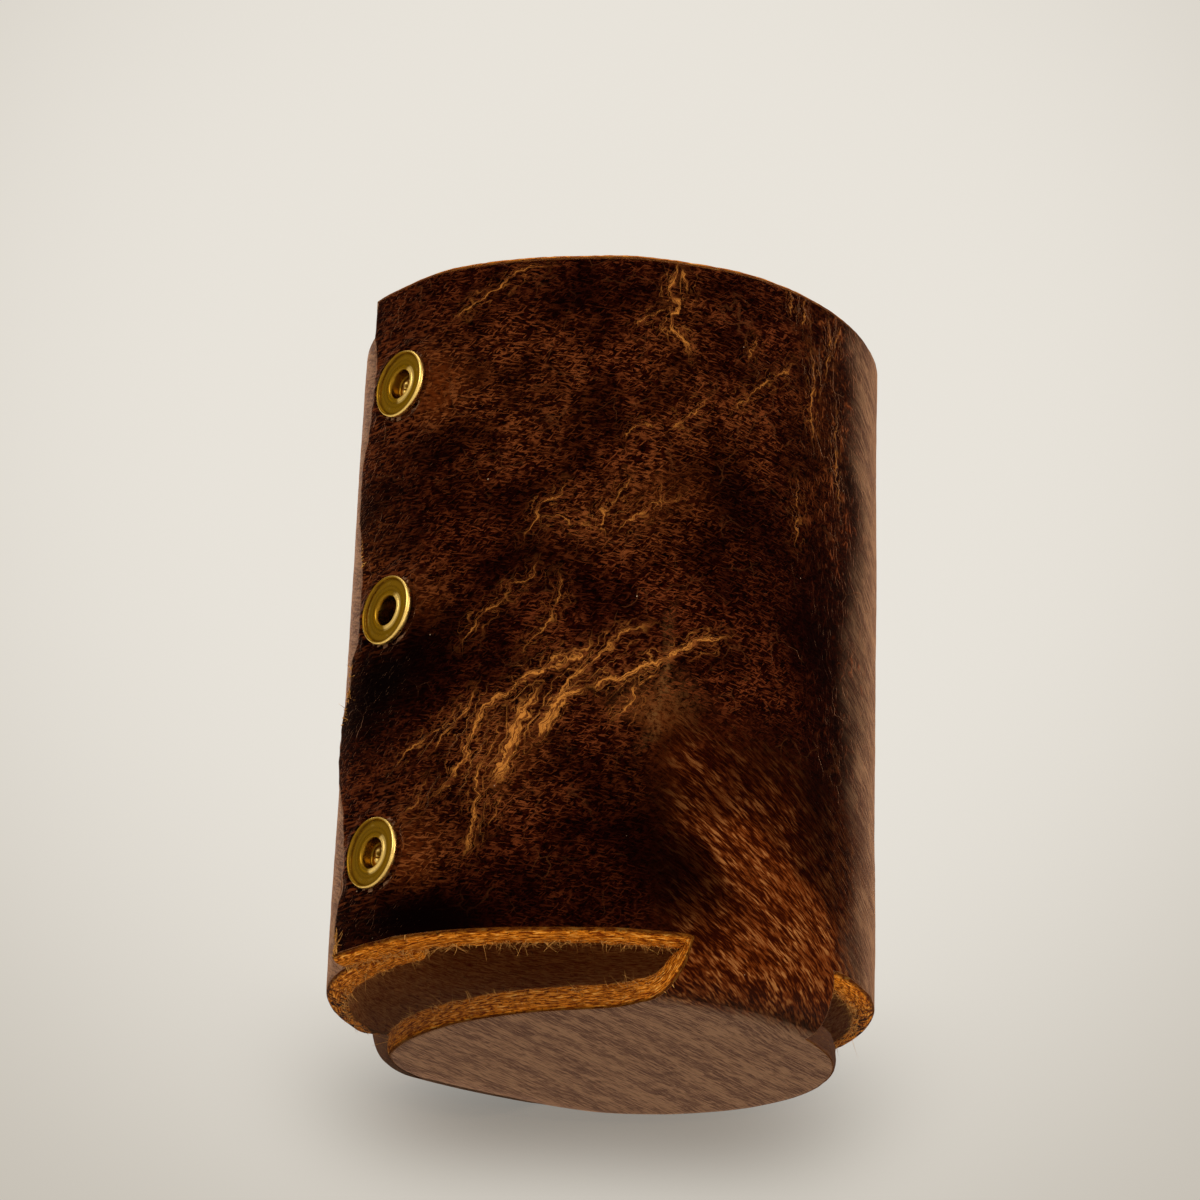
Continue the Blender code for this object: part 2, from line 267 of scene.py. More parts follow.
def rightEdge(s):
    # one arc, set off to the right, never narrower than the neck or the strap
    b = base
    disc = halfChord(sleeve["outer"] - b["rightInset"], s - b["rightAlong"]) + b["rightAcross"]
    return softMax(disc, np.where(s > 0, b["neckRight"] + b["neckFlare"], b["strapHalf"]))


def baseStations():
    # middle line (s, z), the two sides, and how far each station bends with the wall in front and
    # behind: a quarter turn, a flat run, two arcs that rise, an upright end with rounded corners
    b, outer = base, sleeve["outer"]
    fold, disc, slow, bend, upright, corner = (np.linspace(0, 1, n + 1)[1:] for n in b["steps"])
    turn = fold * pi / 2
    gentle = radians(b["riseSlope"]) * slow
    steep = radians(b["riseSlope"]) * (1 - bend) + pi / 2 * bend
    cornerZ = b["strapEnd"] - b["strapCorner"]
    lastZ = np.append(bendMiddleZ + (cornerZ - bendMiddleZ) * upright,
                      cornerZ + b["strapCorner"] * np.sin(corner * pi / 2))
    seat = rivets["strapHeight"] - rivets["flange"]
    lastS = -strapFace - b["bulge"] * (1 - ease((lastZ - bendMiddleZ) / (seat - bendMiddleZ)))
    s = np.hstack([
        outer - b["drop"] * (1 - np.cos(turn)),
        outer - b["drop"] + (riseStart - outer + b["drop"]) * disc,
        riseStart - b["riseRadius"] * np.sin(gentle),
        bendMiddleS - b["bendRadius"] * np.sin(steep), lastS])
    z = np.hstack([
        b["drop"] * (1 - np.sin(turn)), disc * 0, b["riseRadius"] * (1 - np.cos(gentle)),
        bendMiddleZ - b["bendRadius"] * np.cos(steep), lastZ])
    front = np.hstack([fold ** 0, np.clip(1 - disc * 4, 0, 1), slow * 0, bend * 0, lastZ * 0])
    back = np.hstack([fold * 0, disc * 0, slow, bend ** 0, lastZ ** 0])
    rounded = np.maximum(b["strapCorner"] - b["strapEnd"] + z, 0)
    drawn = b["strapCorner"] - halfChord(b["strapCorner"], rounded)
    left = leftEdge(s - front * sagitta(outer, b["neckLeft"])) + drawn
    right = rightEdge(s - front * sagitta(outer, b["neckRight"])) - drawn
    left[:len(fold)] = -b["neckLeft"] - b["neckFlare"] * fold
    right[:len(fold)] = b["neckRight"] + b["neckFlare"] * fold
    return np.stack([s, z, left, right, front, back])


def baseGrid(rim):
    # each station carries the rim's own shares across: point = reach * along + t * across + z
    b, outer = base, sleeve["outer"]
    s, z, left, right, front, back = baseStations()[:, :, None]
    t0 = rim @ across
    share = ((t0 - t0[0]) / (t0[-1] - t0[0]))[None, :]
    t = right + (left - right) * share
    neck = sagitta(outer, np.clip(t, -b["neckLeft"], b["neckRight"]))
    strap = sagitta(outer + sleeve["thickness"], np.clip(t, -b["strapHalf"], b["strapHalf"]))
    reach = s + back * strap - front * neck
    points = reach[..., None] * along + t[..., None] * across
    points[..., 2] += z
    steps = np.hypot(np.diff(s[:, 0], prepend=outer), np.diff(z[:, 0], prepend=sleeve["rim"]))
    path = np.cumsum(steps)
    middle = sleeve["outer"] * radians(b["neckAngle"])
    hide = np.stack([middle + t, sleeve["rim"] - path[:, None] + t * 0, t * 0], -1)
    return points, hide


# Creases, each as its strength, its half width in mm and its points on the flat hide,
# by turns the place along the wall and the height
creases = [
    (1, 0.34, [14.8, 47.5, 10.6, 45.9, 7.4, 43.8, 4.8, 42.6, 1.7, 41, -0.8, 39.9, -3.4, 38.7]),
    (1, 0.75, [-3.4, 38.7, -6, 38, -7.3, 36.2, -8.5, 33.9, -9.3, 32.1]),
    (0.8, 0.3, [4.2, 47.5, 1.6, 46.8, 0.3, 45.1, -2.2, 42.7, -4, 41.5, -5.7, 39.9, -6.5, 37.8,
        -7.9, 35.7]),
    (0.8, 0.3, [-4.1, 44.1, -6.7, 43.4, -8.8, 41.3, -10.9, 40.7, -12.6, 39.1, -13.4, 38.2,
        -15.1, 37.8, -16.8, 35.6, -17.5, 32.9, -17.9, 30.6, -18.9, 28.8, -19.5, 27.1, -22.1, 25.1]),
    (0.9, 0.38, [-3.2, 45.3, -4.4, 42.7, -6.6, 42.2, -8.8, 41.1, -11.3, 40, -13, 38.9]),
    (1, 0.72, [-9.3, 38.8, -10.8, 36.3, -11.9, 33, -12.7, 30.8, -13.4, 28, -14.2, 26.7]),
    (0.7, 0.24, [-17.4, 38.7, -18.2, 36.7, -19.4, 34.4, -21.1, 33.3, -22.4, 31.6]),
    (0.7, 0.24, [-14.1, 34, -14.8, 30.4, -16.5, 28.6, -16.4, 26.3, -16.3, 24.1, -16.5, 20.9,
        -17.6, 16.9]),
    (0.6, 0.17, [-19.9, 36.6, -22.6, 33.9, -25.4, 32.1, -28, 30.3]),
    (0.5, 0.17, [-7.1, 54.6, -7, 51.7, -8.6, 47.9, -10.3, 45.6, -11.9, 43.8]),
    (0.5, 0.17, [-10.2, 56.1, -10.6, 54.6, -13.2, 53.3, -14, 51.2]),
    (0.6, 0.18, [-13.1, 51.2, -15.7, 50.4, -17.4, 48.8, -18.6, 46.8, -19, 45.7]),
    (0.5, 0.15, [-13.3, 24.8, -14.5, 22.1, -14.8, 20.6]),
    (0.5, 0.15, [-23.2, 27.5, -24, 24.9, -26.5, 22.8]),
    (0.8, 0.3, [2.7, 39.6, 2.7, 37.3, 1.5, 35.8, 0.6, 34.4]),
    (0.6, 0.2, [5.3, 41.2, 4, 40.2, 3.1, 39.2]),
    (0.6, 0.18, [-10.6, 99.1, -13.8, 98.5, -15.5, 97.1, -17.7, 95.6, -20, 94.1, -22.8, 92.6]),
    (0.8, 0.3, [7.1, 99.8, 6.7, 97.2, 6.1, 95.6, 7.5, 93.7, 6.4, 91.8, 6.4, 90.5, 8.1, 88.7,
        8.6, 86.8]),
    (0.6, 0.2, [7.9, 98.9, 8.2, 95.9]),
    (0.5, 0.17, [5.2, 92.9, 2.5, 90.7, 1.6, 89.6]),
    (0.6, 0.18, [28.3, 92.6, 29, 88.7, 28.4, 83.4, 28.8, 79]),
    (0.5, 0.17, [31.9, 98.7, 32.4, 94.2, 31.3, 89.6]),
    (0.5, 0.15, [24.2, 100.5, 24.3, 95.8]),
    (0.5, 0.15, [26.8, 99.8, 26.5, 95.1]),
    (0.5, 0.15, [34.9, 98.9, 32.8, 93.8]),
    (0.4, 0.13, [25.9, 73, 25.8, 63]),
    (0.5, 0.15, [34.2, 85.6, 33.9, 78.3, 34.9, 71.6]),
    (0.5, 0.17, [25, 89.4, 20.9, 85.5, 18.2, 83.2, 16.1, 80.7, 15.1, 79.5]),
    (0.5, 0.15, [18.6, 91, 17.6, 87.6]),
    (0.5, 0.17, [11.6, 81, 9.8, 78.9, 8.4, 77.2, 6.6, 75.3]),
    (0.5, 0.15, [4.3, 75.8, 1.6, 75.3, 1, 73.5]),
    (0.6, 0.18, [-6.7, 67.1, -7.9, 65.2, -10.1, 64.3, -10.5, 62.8, -11.7, 59.9]),
    (0.5, 0.15, [-10.1, 62.8, -6.9, 62.2, -2.9, 60.8]),
    (0.6, 0.18, [1.4, 68.2, -0.3, 64.7, -1.8, 63.2, -1.7, 59.8]),
    (0.4, 0.13, [5.6, 68, 5.5, 64.1]),
    (0.5, 0.15, [8.2, 66.1, 4.2, 64.5, 1.6, 61.9, -0.2, 60.3]),
]

# Tones on the flat hide: amount, middle (along, height), half sizes and turn in degrees
warmPatches = [
    (0.9, 23, 3, 15, 10, 0), (0.9, 23, 16.5, 10, 3.4, -26), (0.15, 21, 24, 9, 6, 0),
    (0.6, 4.4, 36.6, 5.5, 3.2, 15), (0.5, -25.5, 85, 5, 6, 0),
    (0.5, -25, 52, 5, 6, 0), (0.6, -24.5, 18.5, 6, 6, 0),
    (0.35, -14, 80, 14, 12, 0), (0.4, 2, 63, 12, 7, 10), (0.5, -13, 31, 7, 9, -30),
    (0.4, 30, 82, 6, 18, 0), (0.35, 7, 90, 5, 9, 0), (0.3, 12, 74, 10, 9, 30),
    (0.35, -36, 63, 5, 9, 0), (0.3, 8, 27, 8, 6, 0),
]
darkPatches = [
    (1, -31, 43, 14, 8, 10), (1, -24, 9.5, 16, 5.4, -3), (0.5, 5, 13, 12, 9, 0), (0.45, 3, 23, 9, 6, 0),
    (0.3, 10.5, 15, 5, 5, 20), (0.4, 13, 27, 8, 4, 0), (0.45, 31, 24, 5, 9, 0),
    (0.5, -4, 95, 11, 4, 0), (0.5, -12, 56, 9, 5, 0), (0.55, 32, 42, 6, 16, 0),
    (0.4, -28, 68, 9, 8, 0), (0.4, 25, 57, 9, 11, 0), (0.5, 29, -4, 6, 4, 0), (0.4, 17, 66, 8, 6, 0),
]
wornPatches = [(1, 6, 41, 0.65, 8.5, -9), (0.4, 4.5, 37, 5, 2.6, 10), (0.25, 9.5, 39, 3.5, 3, 0)]


def patches(u, v, listed):
    # the sum of turned elliptical bells, its outline roughened by noise, at most 1
    uu = u + 2.2 * cloud(u, v, 6, 21)
    vv = v + 2.2 * cloud(u, v, 6, 31)
    total = np.zeros_like(u)
    for amount, u0, v0, ru, rv, turn in listed:
        c, s = cos(radians(turn)), sin(radians(turn))
        a = ((uu - u0) * c + (vv - v0) * s) / ru
        b = ((vv - v0) * c - (uu - u0) * s) / rv
        total += amount * np.exp(-(a * a + b * b) ** 1.4)
    return np.clip(total, 0, 1)


def creaseField(u, v):
    # for each point the signed distance to the nearest crease line, the distance run along it,
    # its half width, and its strength, which fades at the ends of the line and away from it
    uu = u + 0.35 * smoothNoise(u, v, 1.3, 41)
    vv = v + 0.35 * smoothNoise(u, v, 1.3, 43)
    nearest = np.full(u.shape, 6.0)
    offset, half = nearest.copy(), np.full(u.shape, 0.3)
    force, along = np.zeros((2, *u.shape))
    for strength, width, line in creases:
        line = np.reshape(line, (-1, 2))
        lengths = np.hypot(*np.diff(line, axis=0).T)
        starts = np.append(0, np.cumsum(lengths))
        for (a, b), length, start in zip(zip(line, line[1:]), lengths, starts):
            d = (b - a) / length
            run = (uu - a[0]) * d[0] + (vv - a[1]) * d[1]
            side = (uu - a[0]) * d[1] - (vv - a[1]) * d[0]
            past = np.maximum(np.maximum(-run, run - length), 0)
            far = np.hypot(side, past)
            here = far - 0.6 * width < nearest
            share = (start + np.clip(run, 0, length)) / starts[-1]
            fade = np.sqrt(np.clip(np.minimum(share, 1 - share) * 5, 0.05, 1))
            nearest = np.where(here, far - 0.6 * width, nearest)
            offset = np.where(here, np.where(side < 0, -far, far), offset)
            force = np.where(here, strength * fade * np.clip((width + 2.2 - far) / 0.9, 0, 1), force)
            along = np.where(here, start + run, along)
            half = np.where(here, width, half)
    return offset, force, along, half


def rivetSeats():
    # each rivet's middle on the leather's face and its outward direction
    seats = []
    radius = float(wrapRadius(np.array(radians(rivets["angle"]))))
    for height in rivets["heights"]:
        out = np.array((sin(radians(rivets["angle"])), -cos(radians(rivets["angle"])), 0))
        seats.append((out * radius + (0, 0, height), out))
    seats.append((-along * strapFace + (0, 0, rivets["strapHeight"]), -along))
    return seats


def pressRivets(points, normals, listed):
    # inside a flange the leather is drawn level with the flange's underside, rings swell and sink
    # round it, each height * bell(r - radius), pucker lines run off it, and a pit lets the tube through
    for middle, out in listed:
        rel = points - middle
        rise = rel @ out
        side = np.cross((0, 0, 1), out)
        x, y = rel @ side, rel[:, 2]
        r = np.hypot(x, y)
        near = (r < rivets["reach"]) & (normals @ out > 0.3) & (np.abs(rise) < 4)
        level = rivets["under"] - 0.04
        hold = 1 - ease((r - rivets["holdFrom"]) / rivets["holdFade"])
        swell = sum(height * bell(r - radius, width) for height, radius, width in rivets["rings"])
        turn = np.arctan2(y, x)
        pucker = 0.07 * np.cos(turn * 13 + 2 * np.sin(turn * 2)) * bell(r - 6.6, 1.5)
        pit = rivets["pit"] * ease((rivets["bore"] + 0.45 - r) / 0.7)
        move = (level - rise) * hold + swell + pucker - pit
        points = points + np.where(near, move, 0)[:, None] * out
    return points


def leatherTones(u, v, onBase):
    # warm, dark and bloom shares on the flat hide, the bloom share being painted sheen in strips down
    # both sides and, on the base, bloom with painted sheen; then the worn share and how the fibres run,
    # low and right
    loose = u + 5 * cloud(u, v, 12, 91)
    # painted sheen: grey-brown strips down the right and left sides of the wall, where the leather is
    # seen at a slant
    sides = ease((loose - 36) / 12) * ease((73 - loose) / 22) + ease((loose - 158) / 24)
    bloomAndSheen = np.maximum(ease((-0.2 - v) / 4.2) * onBase, 0.88 * sides * (v > 5))
    low = ease((42 - v - 0.25 * (u - 12)) / 12) * ease((u - 3) / 8)
    low = np.where(v < 2, 1, low)
    right = ease((u - 20) / 12) * (u < 90) * (1 - low)
    return (np.stack([patches(u, v, warmPatches), patches(u, v, darkPatches), bloomAndSheen], -1),
            np.stack([patches(u, v, wornPatches), low, right], -1))


def makeSleeve(finishes):
    # a closed shell: the grain side, rings of points down the cut border, and the flesh side,
    # which is the same sheet moved in along its normals by the thickness
    s = sleeve
    wall, wallHide = wallGrid()
    neck = slice(sum(s["columns"][:2]), sum(s["columns"][:3]) + 1)
    under, underHide = baseGrid(wall[-1, neck])
    index = numbered(wall)
    underIndex = np.vstack([index[-1, neck], numbered(under, index.size)])
    plain = np.vstack([wall.reshape(-1, 3), under.reshape(-1, 3)])
    hide = np.vstack([wallHide.reshape(-1, 3), underHide.reshape(-1, 3)])
    faces = np.vstack([gridFaces(index), gridFaces(underIndex)])
    normals = vertexNormals(plain, faces)

    # the sheet's border, once round, with the leather on its left
    loop = np.hstack([
        index[0, :-1], index[:-1, -1], index[-1, :neck.stop - 1:-1], underIndex[:-1, -1],
        underIndex[-1, :0:-1], underIndex[:0:-1, 0], index[-1, neck.start:0:-1], index[:0:-1, 0]])
    border, out = plain[loop], normals[loop]
    run = unit(np.roll(border, -1, 0) - np.roll(border, 1, 0))
    away = unit(np.cross(run, out))
    onWall = (loop < index.size).astype(float)
    length = np.cumsum(np.linalg.norm(border - np.roll(border, 1, 0), axis=1))

    # the grain side, with its undulation, creases, rivet seats and worn border
    u, v = hide[:, 0], hide[:, 1]
    offset, force, followed, half = creaseField(u, v)
    relief = (0.1 * smoothNoise(u, v, 17, 51) + 0.05 * cloud(u, v, 5, 53)
              + 0.018 * smoothNoise(u, v, 0.9, 57))
    widths = offset / half
    ridge = 0.16 * bell(widths, 0.9) - 0.1 * bell(np.abs(widths) - 2, 0.8)
    relief += np.minimum(half, 0.8) * force * ridge
    relief[index.size:] *= 0.4
    outer = pressRivets(plain + normals * relief[:, None], normals, rivetSeats())
    bevel = s["bevel"] * (0.55 + 0.45 * onWall) * (1 + 0.25 * smoothNoise(length, 0, 2.5, 61))
    outer[loop] -= away * bevel[:, None] + out * 0.03

    # the cut: rings round the border, each further out and deeper, and rougher towards the flesh
    endCut = np.zeros(len(loop))
    endCut[-len(index):] = np.minimum(np.arange(len(index)) * 0.5, 1)
    pitted = onWall * (border[:, 2] < 12) * ease((border[:, 1] + 14) / 14)
    rings = []
    for k, (depth, reach, fray) in enumerate(s["cutRings"]):
        swell = sin(pi * min(k / 4, 1))
        ragged = 0.6 * (smoothNoise(length, k * 0.5, 0.7, 71) + smoothNoise(length, k * 0.35, 2.2, 73))
        hollow = ease((smoothNoise(length, k * 0.8, 1.5, 79) - 0.05) / 0.5)
        reach = reach * s["slant"] * onWall + 0.16 * swell * (1 - onWall)
        reach = reach * (1 - endCut) - endCut * s["endDraw"] * depth / s["thickness"]
        reach = reach + fray * ragged - 0.5 * pitted * hollow * swell
        sink = depth + 0.35 * fray * smoothNoise(length, k * 0.5, 0.9, 77)
        rings.append(border + away * reach[:, None] - out * sink[:, None])
    ringCount = len(rings)
    ringIndex = numbered(np.array(rings), len(plain))

    # the flesh side, on every second row and column of the same grids
    coarse = np.unique(np.hstack([index[::2, ::2].ravel(), underIndex[::2, ::2].ravel()]))
    fuzz = 0.13 * smoothNoise(u, v, 1.7, 81) + 0.1 * smoothNoise(u, v, 5, 83)
    inner = plain + normals * (fuzz - s["thickness"])[:, None]
    innerReach = (0.62 * s["slant"] * onWall - 0.1) * (1 - endCut) - s["endDraw"] * endCut
    inner[loop] += away * innerReach[:, None]
    start = len(plain) + ringIndex.size
    innerNumber = np.full(len(plain), -1)
    innerNumber[coarse] = start + np.arange(len(coarse))
    innerFaces = [gridFaces(innerNumber[grid[::2, ::2]])[:, ::-1] for grid in (index, underIndex)]

    bands = [np.stack([np.roll(a, -1), a, b, np.roll(b, -1)], -1)
             for a, b in zip([loop, *ringIndex], ringIndex)]
    fine, few = ringIndex[-1], innerNumber[loop[::2]]
    fours = np.stack([np.roll(fine[::2], -1), fine[1::2], few, np.roll(few, -1)], -1)
    threes = np.stack([fine[1::2], fine[::2], few], -1)
    faceSets = (faces, *bands, fours, threes, *innerFaces)
    allFaces = [face for faceSet in faceSets for face in faceSet.tolist()]
    points = np.vstack([outer, *rings, inner[coarse]])

    # what the leather's material reads, point by point
    ringPoints = ringIndex.ravel()
    allHide = np.vstack([hide, np.tile(hide[loop], (ringCount, 1)), hide[coarse]])
    au, av = allHide[:, 0], allHide[:, 1]
    cut, flesh, pits, burnish, lineForce = np.zeros((5, len(points)))
    cut[loop] = 0.75
    cut[index[1]] = 0.45
    cut[ringPoints] = 1
    flesh[ringIndex[-1]] = 0.5
    flesh[start:] = 1
    pits[ringPoints] = np.tile(pitted, ringCount)
    # painted shade on the cut edges of the base towards its right and on the strap's cut edges, laid in
    # the bloom and sheen colour
    retoned = np.maximum(ease((border @ across - 4) / 6), ease((-22 - border @ along) / 5))
    burnish[ringPoints] = np.tile((1 - onWall) * retoned * 0.92, ringCount)
    lineForce[:len(plain)] = force
    line = np.tile((6, 0, 0.3), (len(points), 1))
    line[:len(plain)] = np.stack([offset, followed, half], -1)
    cutPlace = np.zeros((len(points), 3))
    cutPlace[ringPoints, 0] = np.tile(length, ringCount)
    cutPlace[ringPoints, 1] = np.repeat([ring[0] for ring in s["cutRings"]], len(loop))
    cutPlace[loop, 0] = length
    cutPlace[start:] = hide[coarse] + (0, 0, 30)
    tone, flow = leatherTones(au, av, np.isin(np.arange(len(points)), underIndex[1:]))
    nearRivets = np.clip(sum(bell(av - height, 9) for height in rivets["heights"]), 0, 1)
    obj = makePiece("leatherSleeve", points, allFaces, finishes, hidePlace=allHide, cutPlace=cutPlace,
                    tone=tone, flow=flow, creaseLine=line, cut=cut, flesh=flesh,
                    creaseForce=lineForce, pitted=pits, burnish=burnish,
                    seatStreaks=ease((-24 - au) / 5) * nearRivets)
    rawFaces = np.arange(len(allFaces)) >= len(faces)
    obj.data.polygons.foreach_set("material_index", rawFaces.astype(np.int32))
    return obj, {"points": rings[-2], "away": away, "inward": -out, "run": run, "onWall": onWall,
                 "outer": outer[loop]}


# Node helpers: the owner is a socket, a node or the tree itself

def setInputs(node, inputs):
    # a socket is linked, anything else is the input's own constant
    for name, value in inputs.items():
        if isinstance(value, bpy.types.NodeSocket):
            node.id_data.links.new(value, node.inputs[name])
        else:
            node.inputs[name].default_value = value
    return node


def addNode(owner, kind, inputs=None, **settings):
    # a new node in the owner's tree; gives its outputs
    node = owner.id_data.nodes.new("ShaderNode" + kind)
    for name, value in settings.items():
        setattr(node, name, value)
    return setInputs(node, inputs or {}).outputs


def calc(operation, a, b=0, clamp=False):
    # one Math node
    owner = a if isinstance(a, bpy.types.NodeSocket) else b
    return addNode(owner, "Math", {0: a, 1: b}, operation=operation, use_clamp=clamp)[0]


def chained(operation):
    # a function that joins two or more values one after another
    return lambda *values: reduce(partial(calc, operation), values)


plus, minus, times, most = (chained(name) for name in ("ADD", "SUBTRACT", "MULTIPLY", "MAXIMUM"))


def absolute(value):
    return calc("ABSOLUTE", value)


def rest(value):
    # 1 - value, kept between 0 and 1
    return calc("SUBTRACT", 1, value, True)


def vectorCalc(operation, a, b):
    # one Vector Math node; SCALE alone takes a number second
    second = "Scale" if operation == "SCALE" else 1
    return addNode(a, "VectorMath", {0: a, second: b}, operation=operation)[0]


def parts(vector):
    return addNode(vector, "SeparateXYZ", {0: vector})


def mixed(share, a, b):
    # a * (1 - share) + b * share
    return addNode(share, "Mix", {0: share, 2: a, 3: b})[0]


def blendColour(share, a, b):
    # the same for colours
    return addNode(share, "Mix", {0: share, 6: a, 7: b}, data_type="RGBA")[2]


def layered(colour, *layers):
    # each layer is its share and its colour, laid over those before it
    for share, top in layers:
        colour = blendColour(share, colour, top)
    return colour


def remap(value, low, high, toLow=0, toHigh=1):
    # low to high becomes toLow to toHigh, by 3t^2 - 2t^3
    return addNode(value, "MapRange", {0: value, 1: low, 2: high, 3: toLow, 4: toHigh},
                   interpolation_type="SMOOTHSTEP")[0]


def noise(place, scale, detail=2, roughness=0.5, distortion=0, output="Fac"):
    return addNode(place, "TexNoise", {
        "Vector": place, "Scale": scale, "Detail": detail, "Roughness": roughness,
        "Distortion": distortion})[output]


def shaken(place, source, scale, detail, reach):
    # place + (noise colour - 0.5) * reach
    push = vectorCalc("SUBTRACT", noise(source, scale, detail, output="Color"), (0.5, 0.5, 0.5))
    return vectorCalc("ADD", place, vectorCalc("SCALE", push, reach))


def cells(place, scale, feature="F1"):
    # Voronoi cells: each one's colour and the distance to its middle, or border
    return addNode(place, "TexVoronoi", {"Vector": place, "Scale": scale}, feature=feature)


def bumped(height, strength, distance):
    # the surface direction, tilted by the height's slope
    return addNode(height, "Bump", {
        "Height": height, "Strength": strength, "Distance": distance})[0]


def attribute(owner, name, output="Fac"):
    # what makePiece stored under this name
    return addNode(owner, "Attribute", attribute_name=name)[output]


def objectPlace(owner):
    # Object coordinates in millimetres
    return vectorCalc("SCALE", addNode(owner, "TexCoord")["Object"], 1 / mm)


def newGroup(name, outputs, **inputs):
    # a group that takes a place and some numbers, and gives numbers
    tree = bpy.data.node_groups.new(name, "ShaderNodeTree")
    tree.interface.new_socket(name="Place", in_out="INPUT", socket_type="NodeSocketVector")
    for label, value in inputs.items():
        socket = tree.interface.new_socket(name=label, in_out="INPUT", socket_type="NodeSocketFloat")
        socket.default_value = value
    for label in outputs:
        tree.interface.new_socket(name=label, in_out="OUTPUT", socket_type="NodeSocketFloat")
    return tree, tree.nodes.new("NodeGroupInput").outputs, tree.nodes.new("NodeGroupOutput")


def placed(group, place, **inputs):
    # one use of a group
    return addNode(place, "Group", {"Place": place, **inputs}, node_tree=group)


def wrinkleGroup():
    # fine wavy lines that run one way: the level lines of a noise that is stretched along the run
    tree, given, result = newGroup("wrinkleField", ("Lines", "Body", "Hairs"),
                                   Turn=0, Size=0.5, Stretch=4, Width=0.12)
    place = given["Place"]
    turned = addNode(place, "VectorRotate", {"Vector": place, "Angle": given["Turn"]},
                     rotation_type="Z_AXIS")[0]
    finer = calc("DIVIDE", 1, given["Size"])
    longer = calc("DIVIDE", finer, given["Stretch"])
    scale = addNode(place, "CombineXYZ", {0: longer, 1: finer, 2: finer})[0]
    turned = shaken(turned, place, 0.55, 1, times(given["Size"], 1.1))
    drawn = vectorCalc("MULTIPLY", turned, scale)
    body, finerBody = noise(drawn, 1, 0), noise(drawn, 1.8, 0)
    ridges = [remap(absolute(minus(field, 0.5)), 0, given["Width"], share, 0)
              for field, share in ((body, 1), (finerBody, 0.55))]
    broken = remap(noise(place, 0.6, 3, 0.6), 0.38, 0.62, 0.1, 1)
    setInputs(result, {"Lines": times(most(*ridges), broken), "Body": body,
                       "Hairs": plus(times(body, 0.55), times(finerBody, 0.45))})
    return tree


def veinGroup():
    # a net of thin cracks: borders of Voronoi cells, their place shaken by noise, shown in patches
    tree, given, result = newGroup("veinNet", ("Lines",), Size=3, Shake=1, Width=0.08, Cover=0.5)
    place = moved = given["Place"]
    for scale, reach in ((0.22, 9), (1.1, 1.5)):
        moved = shaken(moved, place, scale, 2, times(given["Shake"], reach))
    borders = cells(moved, calc("DIVIDE", 1, given["Size"]), "DISTANCE_TO_EDGE")["Distance"]
    least = minus(1, given["Cover"])
    shown = remap(noise(place, 0.16), least, plus(least, 0.12))
    setInputs(result, {"Lines": times(remap(borders, 0, given["Width"], 1, 0), shown)})
    return tree


def fuzzGroup():
    # raw leather: short fibres along the cut and pores, dips that rawSurface darkens as painted shade,
    # from noise on the piece's own place
    tree, given, result = newGroup("rawFuzz", ("Tone", "Pores", "Height"), Grain=1)
    place = vectorCalc("MULTIPLY", given["Place"], (0.3, 2.2, 1))
    tone = noise(vectorCalc("SCALE", place, given["Grain"]), 1.6, 4, 0.65, 0.6)
    pores = remap(noise(given["Place"], 1.5, 3, 0.6), 0.38, 0.3)
    setInputs(result, {"Tone": tone, "Pores": pores, "Height": minus(tone, times(pores, 0.8))})
    return tree


def newMaterial(name):
    # a material and its Principled shader
    material = bpy.data.materials.new(name)
    material.use_nodes = True
    return material, material.node_tree.nodes["Principled BSDF"]


leatherLook = {
    "deep": (0.0012, 0.0001, 0.0001, 1),
    "brown": (0.012, 0.001, 0.0003, 1),
    "warm": (0.126, 0.0235, 0.003, 1),
    "warmDark": (0.024, 0.0028, 0.0003, 1),  # between the hairs at the lower right
    "hair": (0.33, 0.125, 0.033, 1),
    "fibreSide": (0.04, 0.0036, 0.0006, 1),
    "fibre": (0.172, 0.04, 0.0105, 1),
    "warmFibre": (0.27, 0.088, 0.021, 1),
    "vein": (0.15, 0.046, 0.013, 1),
    "crease": (0.5, 0.18, 0.03, 1),
    "creaseSide": (0.16, 0.04, 0.0085, 1),
    "worn": (0.115, 0.045, 0.012, 1),  # the scuffed, greyish patch
    "bloomAndSheen": (0.096, 0.042, 0.0255, 1),  # grey-brown: bloom with painted sheen on the base, painted sheen on both sides
    "bloomTan": (0.31, 0.16, 0.081, 1),
    "speck": (0.42, 0.28, 0.17, 1),
    "raw": (0.78, 0.235, 0.012, 1),
    "rawDark": (0.17, 0.028, 0.001, 1),
    "rawLight": (1, 0.5, 0.095, 1),
    "darkLineAndPitShade": (0.035, 0.007, 0.0008, 1),  # painted shade in the pits and pores, and the dark line where the cut meets the grain
    "flesh": (0.5, 0.2, 0.05, 1),
    "roughness": (0.43, 0.58),
    "rawRoughness": (0.9, 0.92),  # at the worn corner, and on the cut itself
    "specular": 0.002,
    "rawSpecular": 0.04,
    "sheen": 0.6,
    "sheenRoughness": 0.21,
    "sheenTint": (1, 0.5, 0.27, 1),
}


